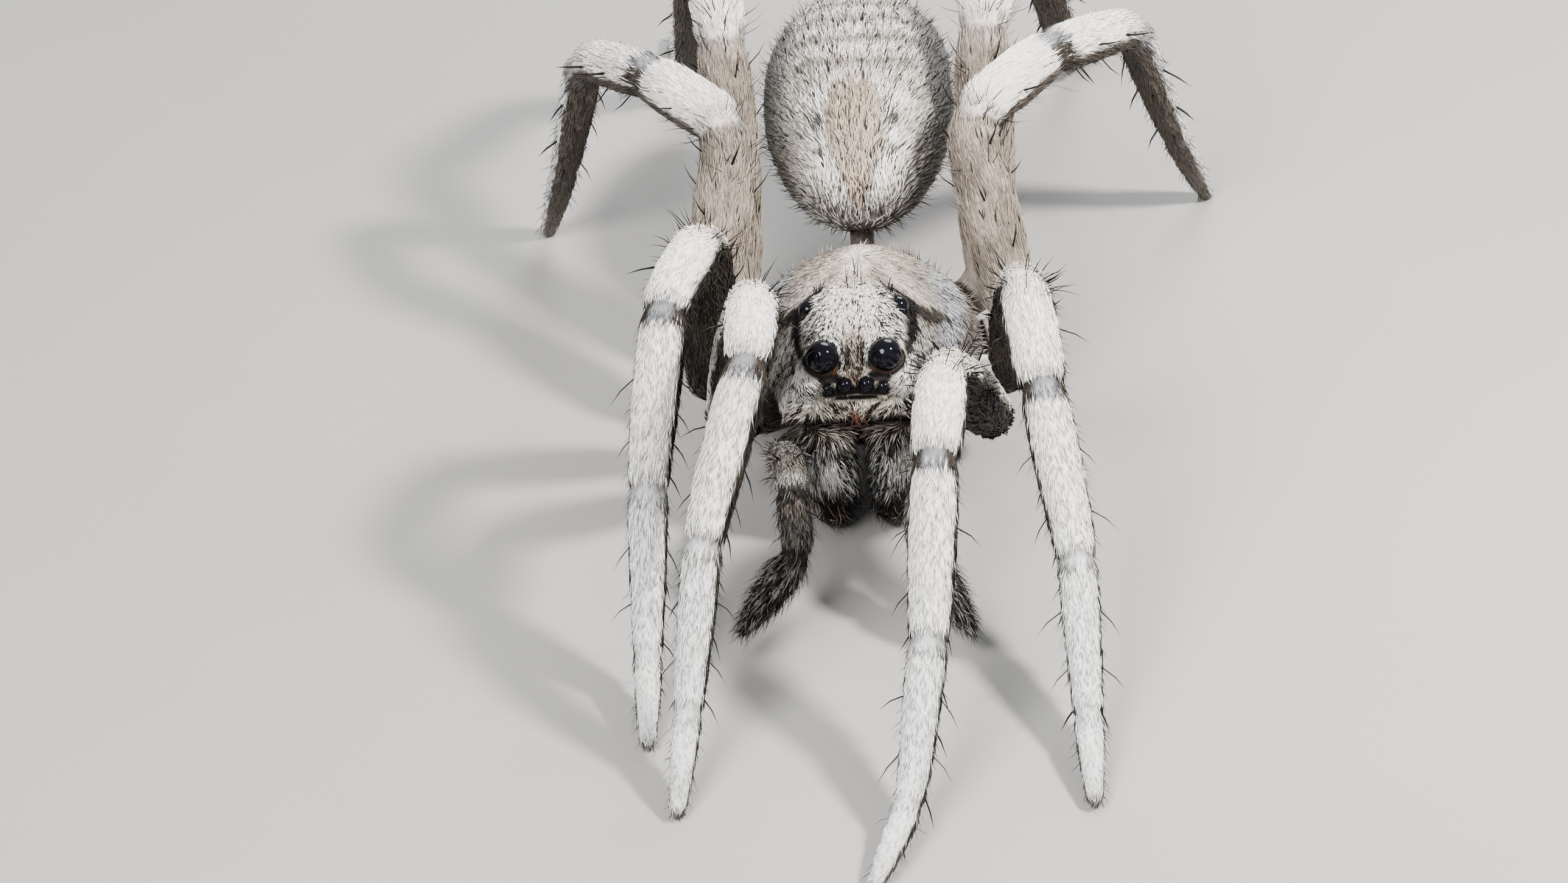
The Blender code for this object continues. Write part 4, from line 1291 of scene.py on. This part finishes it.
def add_face_bristles(coat, sheet):
    """Dark streaks between the big eyes, long bristles beside them and red ones that cross over
    the mouth's middle."""
    rng = coat.rng
    x, y, z = half_axes(sheet.points)
    bridge = (x < 0.46) & (y < -3.8) & (z > 6.75) & (sheet.normals[..., 2] > 0.1)
    roots = coat.spread(sheet, BRIDGE_STREAKS, bridge)
    coat.add(roots, "bridge", BLACK, carapace_flow(roots.points), over_eyes)
    for _side, sign in SIDES:
        roots = nearest_roots(sheet, [mirrored(place, sign) for place in TEMPLE_BRISTLES])
        coat.add(roots, "temple", BLACK, (0.35 * sign, -0.4, -0.9), over_eyes)
        places = mirrored(MOUTH, sign) + rng.normal(0, 0.15, (MOUTH_BRISTLES, 3))
        ways = rows_of(-sign * rng.uniform(0.3, 1.2, MOUTH_BRISTLES), 0.0,
                       -rng.uniform(0.5, 1.0, MOUTH_BRISTLES))
        coat.add(nearest_roots(sheet, places), "mouth", RUST * 0.6, ways)


CHELICERA_HAIRS = 5200
# White hair patch on the right jaw only, raised past white as painted light: middle, and how far it
# reaches to each side
JAW_PATCH = ((-1.06, -6.1, 2.80), (0.40, 0.9, 0.68))
GAP_HAIRS = 700
# Long bristles of a jaw: kind, count, lowest and highest place
JAW_BRISTLES = (("jaw_bristle", 110, 1.6, 3.2), ("fang_bristle", 170, 0.95, 1.7))


def chelicera_tint(points):
    """Colours of the jaws: grey streaks, brown at the top, black towards the tips from dark hair
    and painted shade, and painted shade where they meet.
    """
    x, z = points[..., 0], points[..., 2]
    fine = CLOUD.at(points * (1, 1, 0.3), 0.12)
    # Painted shade where the jaws meet, and black towards the tips from dark hair with painted
    # shade under the head
    shade_and_dark_tips = np.maximum(smooth(0.22, 0.05, np.abs(x)), smooth(2.35, 1.7, z + 0.2 * fine))
    middle, reach = JAW_PATCH
    away = np.linalg.norm((points - middle) / reach, axis=-1)
    patch = smooth(*SPOT_EDGE, away + 0.2 * fine)
    return blend(STEEL, (WHITE, smooth(0.0, 0.5, fine) * 0.85),
                 (BLACK, smooth(0.1, 0.5, -fine) * 0.85),
                 (TAN * 0.7, smooth(3.9, 4.25, z + 0.1 * fine) * 0.6), (BLACK, shade_and_dark_tips * 0.93),
                 # The patch's white hair is raised past white as painted light against the head's
                 # shadow
                 (WHITE * 1.3, patch))


def dress_chelicerae():
    for side, sign in SIDES:
        sheet = chelicera_sheet(sign)
        y, z = sheet.points[..., 1], sheet.points[..., 2]
        tint = chelicera_tint(sheet.points) * SKIN_SHADE * 0.5
        add_skin(f"chelicera_{side}_skin", [sheet], [tint], [f"chelicera_{side}"])
        coat = Coat(20 + sign)
        rng = coat.rng
        roots = coat.spread(sheet, CHELICERA_HAIRS, z > 1.1)
        ways = (-0.12 * sign, 0.0, -1.0)
        x, _y, height = roots.points.T
        light = smooth(2.1, 2.5, height) * smooth(4.2, 3.8, height) * (np.abs(x) > 0.35)
        tint = chelicera_tint(roots.under_middles(ways, HAIRS["jaw"].length))
        tint = pick_dark(rng, tint, 0.30 * light, WHITE)
        share = 0.42 - 0.40 * smooth(0.5, 0.85, tint.mean(axis=1))
        coat.add(roots, "jaw", pick_dark(rng, tint, share), ways)
        facing = sheet.normals[..., 0] * -sign
        inner = (z > 1.6) & (z < 4.3) & (facing > 0.15) & (facing < 0.95) & (y < -5.2)
        roots = coat.spread(sheet, GAP_HAIRS, inner)
        tint = pick_dark(rng, chelicera_tint(roots.points + (0.3 * sign, 0, 0)), 0.55)
        coat.add(roots, "gap", tint, (-0.5 * sign, -0.2, -0.8))
        for kind, count, low, high in JAW_BRISTLES:
            roots = coat.spread(sheet, count, (z > low) & (z < high))
            ways = rows_of(rng.normal(-0.2 * sign, 0.3, count), rng.normal(-0.3, 0.3, count), -1.0)
            tint = pick_dark(rng, np.broadcast_to(TAN * 0.8, (count, 3)), 0.82)
            coat.add(roots, kind, tint, ways)
        coat.build(f"chelicera_{side}")


def folded(angle):
    """Angle between minus and plus half a turn."""
    return (angle + pi) % (2 * pi) - pi


def past_joint(run, mark, width):
    """1 from a joint to a width past it, 0 elsewhere."""
    return smooth(-0.06, 0.0, run - mark) * smooth(width * 1.2, width * 0.8, run - mark)


def field_roots(sheet, alongs, turns):
    """Roots on a limb at bone places and turns in degrees."""
    along = sheet.fields["along"][:, 0]
    row = np.clip(np.searchsorted(along, alongs), 0, len(along) - 2)
    columns = sheet.points.shape[1]
    column = np.round(turns / 360 * columns).astype(int) % columns
    zero = np.zeros(len(row))
    return Roots(sheet, row, column, zero, zero)


JOINT_OVERLAP, SHORTEST_HAIR = 0.32, 0.40
LEG_HAIRS, FRINGE_HAIRS, KNEE_BRISTLES = 7000, 420, 26
FLANK_TURN = 1.28
# Dark rings past a leg's joints: joint number, width from the joint, strength. The hair before a
# joint lies over the first part of its ring.
LEG_RINGS = ((3, 0.46, 1.0), (4, 0.42, 0.5), (5, 0.38, 0.3))
# Spines: bone and share of it, turn from the upper side in degrees; the pairs stand on both sides
SPINE_PAIRS = ((1.7, 95), (1.9, 80), (2.5, 85), (3.25, 150), (3.55, 145), (3.9, 140), (3.4, 85),
               (3.75, 80), (4.2, 150), (4.5, 145), (4.9, 135), (4.35, 85), (4.7, 80))
LEG_SPINES = [(1.35, 20), (1.6, -15), (1.85, 25)]
LEG_SPINES += [(bone, turn * sign) for bone, turn in SPINE_PAIRS for _side, sign in SIDES]
PALP_SPINES = ((2.35, 30), (2.35, -35), (2.7, 0), (2.75, 70), (3.3, 60), (3.35, -60), (3.7, 80),
               (3.1, 95), (1.8, 20), (1.8, -30))


def short_of_joint(length, left):
    """Hair lengths cut so that the coat ends at the next joint in an even edge."""
    return np.minimum(length, np.maximum(left + JOINT_OVERLAP, SHORTEST_HAIR))


def leg_tint(where, number):
    """Markings of a leg: pale above, dark at the sides and below, dark at the joints."""
    points, marks = where.points, where.marks
    along, run = where.field("along"), where.field("run")
    side = np.abs(folded(where.field("turn")))
    fine, broad = CLOUD.at(points, 0.22), CLOUD.at(points, 0.9)
    front = number < 3
    femur = smooth(2.15, 1.9, along)
    shaded = blend(BEIGE, (GREY, smooth(-0.6, 0.7, broad) * 0.7))
    lower = blend(OLIVE_BLACK, (BLACK, smooth(-0.5, 0.5, broad)))
    if not front:
        shaded = blend(shaded * 0.85, (WARM_BROWN * 0.75, 0.45 + 0.35 * smooth(-0.5, 0.5, broad)),
                       (BROWN_GREY, smooth(0.15, 0.6, CLOUD.at(points, 0.5)) * 0.6))
        lower = blend(lower, (BROWN_GREY, 0.55))
    flank = FLANK_TURN + 0.16 * fine + femur * (0.1 if front else 0.9) + (0 if front else 0.35)
    rings = []
    for joint, width, strength in LEG_RINGS:
        shown = past_joint(run, marks[joint], width) * strength
        rings += [(JOINT_GREY, shown * 0.9), (OLIVE_BLACK, shown * smooth(0.3, 0.8, side))]
    return blend(WHITE, (CREAM, smooth(-0.2, 0.9, broad) * 0.35),
                 # Pale blue from the middle of the tibia outwards is painted cool shade
                 (PALE_BLUE, smooth(3.4, 4.4, along) * 0.45),
                 (shaded, femur * (0.5 if front else 1)),
                 (lower, smooth(-0.10, 0.12, side - flank)), *rings,
                 (OLIVE_BLACK, bump(run - marks[2], 0.3) * smooth(0.5, 1.0, side) * 0.9),
                 (GREY, smooth(5.4, 6.0, along) * 0.3))


def dress_leg(number, side, sign, seed):
    """A leg's skin, its short hair, the fringe below, the knee's bristles and the spines."""
    sheet = leg_sheet(number, side, sign)
    name = f"leg_{number}_{side}"
    add_skin(f"{name}_skin", [sheet], [leg_tint(sheet, number) * LEG_SKIN_SHADE],
             [f"{name}_{bone}" for bone in LEG_BONES])
    coat = Coat(seed)
    rng = coat.rng
    along, beside = sheet.field("along"), np.abs(folded(sheet.field("turn")))
    at_joint = np.minimum(sheet.field("left"), np.abs(sheet.field("passed") - 0.1))
    weight = (0.8 + 0.6 * smooth(0.9, 1.2, along)) * (1 + smooth(0.45, 0.25, at_joint))
    roots = coat.spread(sheet, LEG_HAIRS, weight)
    place = roots.field("along")
    tint = pick_dark(rng, leg_tint(roots, number), 0.03 * (place < 2))
    foot = smooth(4.2, 5.6, place)
    coat.add(roots, "leg", tint, width=0.066 - 0.018 * foot,
             length=short_of_joint(0.70 - 0.26 * foot, roots.field("left")),
             lift=10 + 5 * foot, vary=(0.055 + 0.11 * smooth(2.1, 1.9, place))[:, None, None])
    fringe = coat.spread(sheet, FRINGE_HAIRS, smooth(1.4, 1.8, along) * smooth(0.9, 1.3, beside))
    coat.add(fringe, "leg_fringe", OLIVE_BLACK)
    knee = field_roots(sheet, rng.uniform(1.75, 2.25, KNEE_BRISTLES),
                       np.degrees(rng.uniform(-1.7, 1.7, KNEE_BRISTLES)))
    coat.add(knee, "knee", BLACK)
    coat.add(field_roots(sheet, *np.transpose(LEG_SPINES)), "leg_spine", BLACK)
    coat.build(name)


PALP_HAIRS, PALP_FRINGE = 4200, 900
# Dark dots on a palp's knee: bone place and turn, with their radius
PALP_DOTS = ((2.30, -0.75), (2.22, 0.0), (2.30, 0.75))
PALP_DOT_SIZE = 0.16
PALP_RING = 0.42


def palp_tint(where):
    """Markings of a palp: creamy knee with dark dots, streaked below it, dark rings at joints."""
    along, turn, run = (where.field(name) for name in ("along", "turn", "run"))
    fine, broad = CLOUD.at(where.points, 0.16), CLOUD.at(where.points, 0.5)
    dots = []
    for place, around in PALP_DOTS:
        away = np.hypot((along - place) * PALP_LENGTHS[1], folded(turn - around) * PALP_MIDDLES[2])
        dots.append((BLACK, smooth(1.2, 0.7, away / PALP_DOT_SIZE) * 0.95))
    rings = [(OLIVE_BLACK, past_joint(run, mark, PALP_RING) * 0.95) for mark in where.marks[3:5]]
    side = np.abs(folded(turn))
    return blend(GREY, (TAN, smooth(0, 0.9, broad) * 0.5),
                 (WARM_BROWN, bump(along - 3.25, 0.15) * 0.6),
                 (BROWN_GREY * 0.6, smooth(0, 0.6, -fine) * 0.8),
                 (BEIGE * 0.38, bump(along - 2.45, 0.42) * 0.75),
                 (WHITE * 0.8, bump(along - 2.88, 0.09) * 0.7),
                 (WHITE, smooth(4.0, 4.2, along) * smooth(0.0, 0.6, fine) * 0.7),
                 (BROWN_GREY, smooth(4.4, 4.9, along) * 0.6),
                 (OLIVE_BLACK, smooth(1.7, 2.3, side + 0.2 * fine) * 0.7), *dots, *rings)


def dress_palp(side, sign, seed):
    sheet = palp_sheet(side, sign)
    name = f"palp_{side}"
    add_skin(f"{name}_skin", [sheet], [palp_tint(sheet) * SKIN_SHADE],
             [f"{name}_{bone}" for bone in PALP_BONES])
    coat = Coat(seed)
    rng = coat.rng
    roots = coat.spread(sheet, PALP_HAIRS)
    along = roots.field("along")
    dark = 0.12 + 0.16 * smooth(2.9, 3.1, along) + 0.26 * smooth(4.0, 4.2, along)
    length = short_of_joint(0.42 + 0.2 * smooth(4.0, 4.3, along), roots.field("left"))
    coat.add(roots, "palp", pick_dark(rng, palp_tint(roots), dark), length=length)
    fringe = coat.spread(sheet, PALP_FRINGE, smooth(3.9, 4.2, sheet.field("along")) + 0.15)
    tint = pick_dark(rng, np.broadcast_to(GREY, (PALP_FRINGE, 3)), 0.7)
    coat.add(fringe, "palp_fringe", tint)
    coat.add(field_roots(sheet, *np.transpose(PALP_SPINES)), "palp_spine", BLACK)
    coat.build(name)


ABDOMEN_HAIRS, ABDOMEN_BRISTLES = 9000, 700
ABDOMEN_MIDDLE = 11.0
# Heart mark: places from the front to the rear and its half width there. Places run on downwards
# where the abdomen's front is lower than HEART_DROP.
HEART = ((5.4, 0.0), (5.7, 0.25), (6.3, 0.58), (7.1, 1.0), (8.6, 1.0), (9.3, 0.8), (9.6, 0.0))
HEART_DROP = 7.8
HEART_PATCH = ((1.15, 8.95, 9.65), (1.85, 9.05, 9.25), 0.26)
HEART_SPOTS = (((1.38, 8.10, 9.08), 0.30), ((1.28, 7.05, 8.40), 0.20))
# Chevrons behind it: place on the middle line and strength
CHEVRONS = ((10.35, 0.8), (11.75, 0.9), (13.1, 0.7), (14.4, 0.6), (15.5, 0.5))


def abdomen_tint(points):
    """Markings of the abdomen: heart mark, white bands and chevrons above, darker sides."""
    x, y, z = half_axes(points)
    cloud, fine = CLOUD.at(points, 0.6), CLOUD.at(points * (1, 0.5, 1), 0.2)
    flank = np.clip(smooth(1.9, 3.1, x + 0.35 * cloud) + smooth(7.6, 6.4, z), 0, 1)
    place = y - 0.5 * np.maximum(HEART_DROP - z, 0)
    half = np.interp(place, *np.transpose(HEART))
    shown = smooth(5.5, 5.9, place) * smooth(9.9, 9.3, place)
    heart = smooth(0.12, -0.10, x - half + 0.08 * fine) * (half > 0.02)
    spots = [(OLIVE_BLACK, spot(points, middle, middle, size) * 0.9)
             for middle, size in HEART_SPOTS]
    chevrons = []
    for middle, strength in CHEVRONS:
        line = y - middle - 0.21 * x ** 1.3 + 0.12 * fine
        seen = smooth(2.7, 1.9, x) * (z > 7.5) * strength
        chevrons += [(BROWN_GREY * 1.3, bump(line, 0.20) * seen),
                     (WHITE, bump(line - 0.62, 0.32) * seen)]
    return blend(BEIGE * 0.5 + WHITE * 0.42, (WHITE, smooth(0.1, 0.8, fine + 0.4 * cloud) * 0.5),
                 (GREY, flank * 0.75), (BROWN_GREY, smooth(6.4, 5.2, z + 0.3 * cloud) * 0.6),
                 (WHITE, bump(x - half - 0.42 + 0.1 * fine, 0.32) * shown),
                 (WHITE, spot(points, *HEART_PATCH)),
                 (BEIGE * 0.45 + TAN * 0.75, heart * (0.80 + 0.15 * smooth(0, 0.5, -cloud))),
                 (BROWN_GREY, bump(x - half, 0.08) * shown * (half > 0.3) * 0.5),
                 *spots, *chevrons)


def dress_abdomen():
    sheet = abdomen_sheet()
    add_skin("abdomen_skin", [sheet], [abdomen_tint(sheet.points) * SKIN_SHADE],
             ["abdomen"])
    y, z = sheet.points[..., 1], sheet.points[..., 2]
    for name, seed, sign in (("front", 40, -1), ("rear", 41, 1)):
        coat = Coat(seed)
        half = smooth(-0.3, 0.3, (y - ABDOMEN_MIDDLE) * sign)
        roots = coat.spread(sheet, ABDOMEN_HAIRS, half * (0.5 + smooth(6.0, 8.5, z)))
        p = roots.points
        ways = rows_of(0.12 * p[:, 0], 1.0, -0.25 * smooth(9, 6, p[:, 2]))
        front = smooth(7.0, 6.2, p[:, 1])[:, None]
        ways = ways * (1 - front) + np.array((0, 0.3, 1.0)) * front
        tint = abdomen_tint(roots.under_middles(ways, HAIRS["abdomen"].length))
        coat.add(roots, "abdomen", pick_dark(coat.rng, tint, 0.04), ways)
        roots = coat.spread(sheet, ABDOMEN_BRISTLES, half)
        ways = rows_of(0.12 * roots.points[:, 0], 1.0, 0.0)
        coat.add(roots, "abdomen_bristle", OLIVE_BLACK, ways)
        coat.build(f"abdomen_{name}")


def underside_tint(points):
    return blend(BROWN_GREY, (GREY, smooth(2.2, 4.5, np.abs(points[..., 0])) * 0.7),
                 (OLIVE_BLACK, smooth(0, 0.9, CLOUD.at(points, 0.5)) * 0.5))


# Hairs on each sheet
UNDERSIDE_HAIRS, PEDICEL_HAIRS, SPINNERET_HAIRS = 520, 500, 450


def dress_underside():
    """Sternum, coxae and labium, then the stalk of the abdomen and the spinnerets."""
    for name, node, sheets, seed, count in (
            ("underside", "sternum", sternum_sheets(), 50, UNDERSIDE_HAIRS),
            ("pedicel", "pedicel", [pedicel_sheet()], 7, PEDICEL_HAIRS),
            ("spinnerets", "spinnerets", spinneret_sheets(), 10, SPINNERET_HAIRS)):
        tints = [underside_tint(sheet.points) * SKIN_SHADE for sheet in sheets]
        add_skin(f"{name}_skin", sheets, tints, [node])
        coat = Coat(seed)
        for sheet in sheets:
            roots = coat.spread(sheet, count)
            tint = underside_tint(roots.points)
            if node == "sternum":
                coat.add(roots, "underside", pick_dark(coat.rng, tint, 0.15))
            else:
                coat.add(roots, "rear", tint * 1.1)
        coat.build(name)


EYE_FACETS = {"u_segments": 64, "v_segments": 40}


def dress_eyes():
    for name, centre, radius in eye_list():
        shape = bmesh.new()
        bmesh.ops.create_uvsphere(shape, **EYE_FACETS, radius=radius * MM)
        mesh = bpy.data.meshes.new(name)
        shape.to_mesh(mesh)
        shape.free()
        mesh.shade_smooth()
        mesh.materials.append(MATERIALS["eye"])
        eye = add_object(f"{name}_lens", mesh)
        eye.location = (centre + SHIFT) * MM
        finish_piece(eye, [name])


def dress_fangs():
    for side, sign in SIDES:
        sheet = fang_sheet(sign)
        tint = np.broadcast_to(BLACK, sheet.points.shape)
        add_skin(f"fang_{side}_horn", [sheet], [tint], [f"fang_{side}"], "fang")


FLOOR_FINISH = ("floor", 0.8, 0.5, 60, ((0.275, 0.267, 0.258), (0.306, 0.299, 0.288)))
FLOOR_SIZE = 600.0
# Lights: name, place, size in mm, power in watts, colour
LIGHTS = (("sky", (-60, -90, 130), 90, 0.59, (1.0, 0.99, 0.97)),
          ("sun", (70, -20, 90), 14, 0.41, (1.0, 0.96, 0.90)),
          ("rear", (30, 110, 90), 80, 0.21, (0.95, 0.97, 1.0)))
LIGHT_AIM = (0, 0, 5)
WORLD_COLOUR, WORLD_STRENGTH = (0.80, 0.84, 0.90, 1), 0.48


def make_stage():
    """Pale floor and soft lights."""
    half = FLOOR_SIZE * MM / 2
    mesh = bpy.data.meshes.new("floor")
    mesh.from_pydata([(-half, -half, 0), (half, -half, 0), (half, half, 0), (-half, half, 0)], [],
                     [(0, 1, 2, 3)])
    mesh.materials.append(ramp_material(*FLOOR_FINISH))
    floor = add_object("floor", mesh)
    for name, place, size, power, colour in LIGHTS:
        data = bpy.data.lights.new(name, "AREA")
        data.shape = "DISK"
        data.size = size * MM
        data.energy = power
        data.color = colour
        light = add_object(name, data)
        light.location = np.array(place) * MM
        aim = -np.array(place, float) + LIGHT_AIM
        light.rotation_euler = Vector(aim).to_track_quat("-Z", "Y").to_euler()
    world = bpy.data.worlds.new("world")
    world.use_nodes = True
    background = world.node_tree.nodes["Background"]
    background.inputs["Color"].default_value = WORLD_COLOUR
    background.inputs["Strength"].default_value = WORLD_STRENGTH
    bpy.context.scene.world = world


make_camera()
dress_carapace()
dress_eyes()
dress_chelicerae()
dress_fangs()
for leg_number in LEG_LENGTHS:
    for limb_side, limb_sign in SIDES:
        dress_leg(leg_number, limb_side, limb_sign, 60 + 2 * leg_number + (limb_sign > 0))
for limb_side, limb_sign in SIDES:
    dress_palp(limb_side, limb_sign, 80 + limb_sign)
dress_abdomen()
dress_underside()
make_stage()
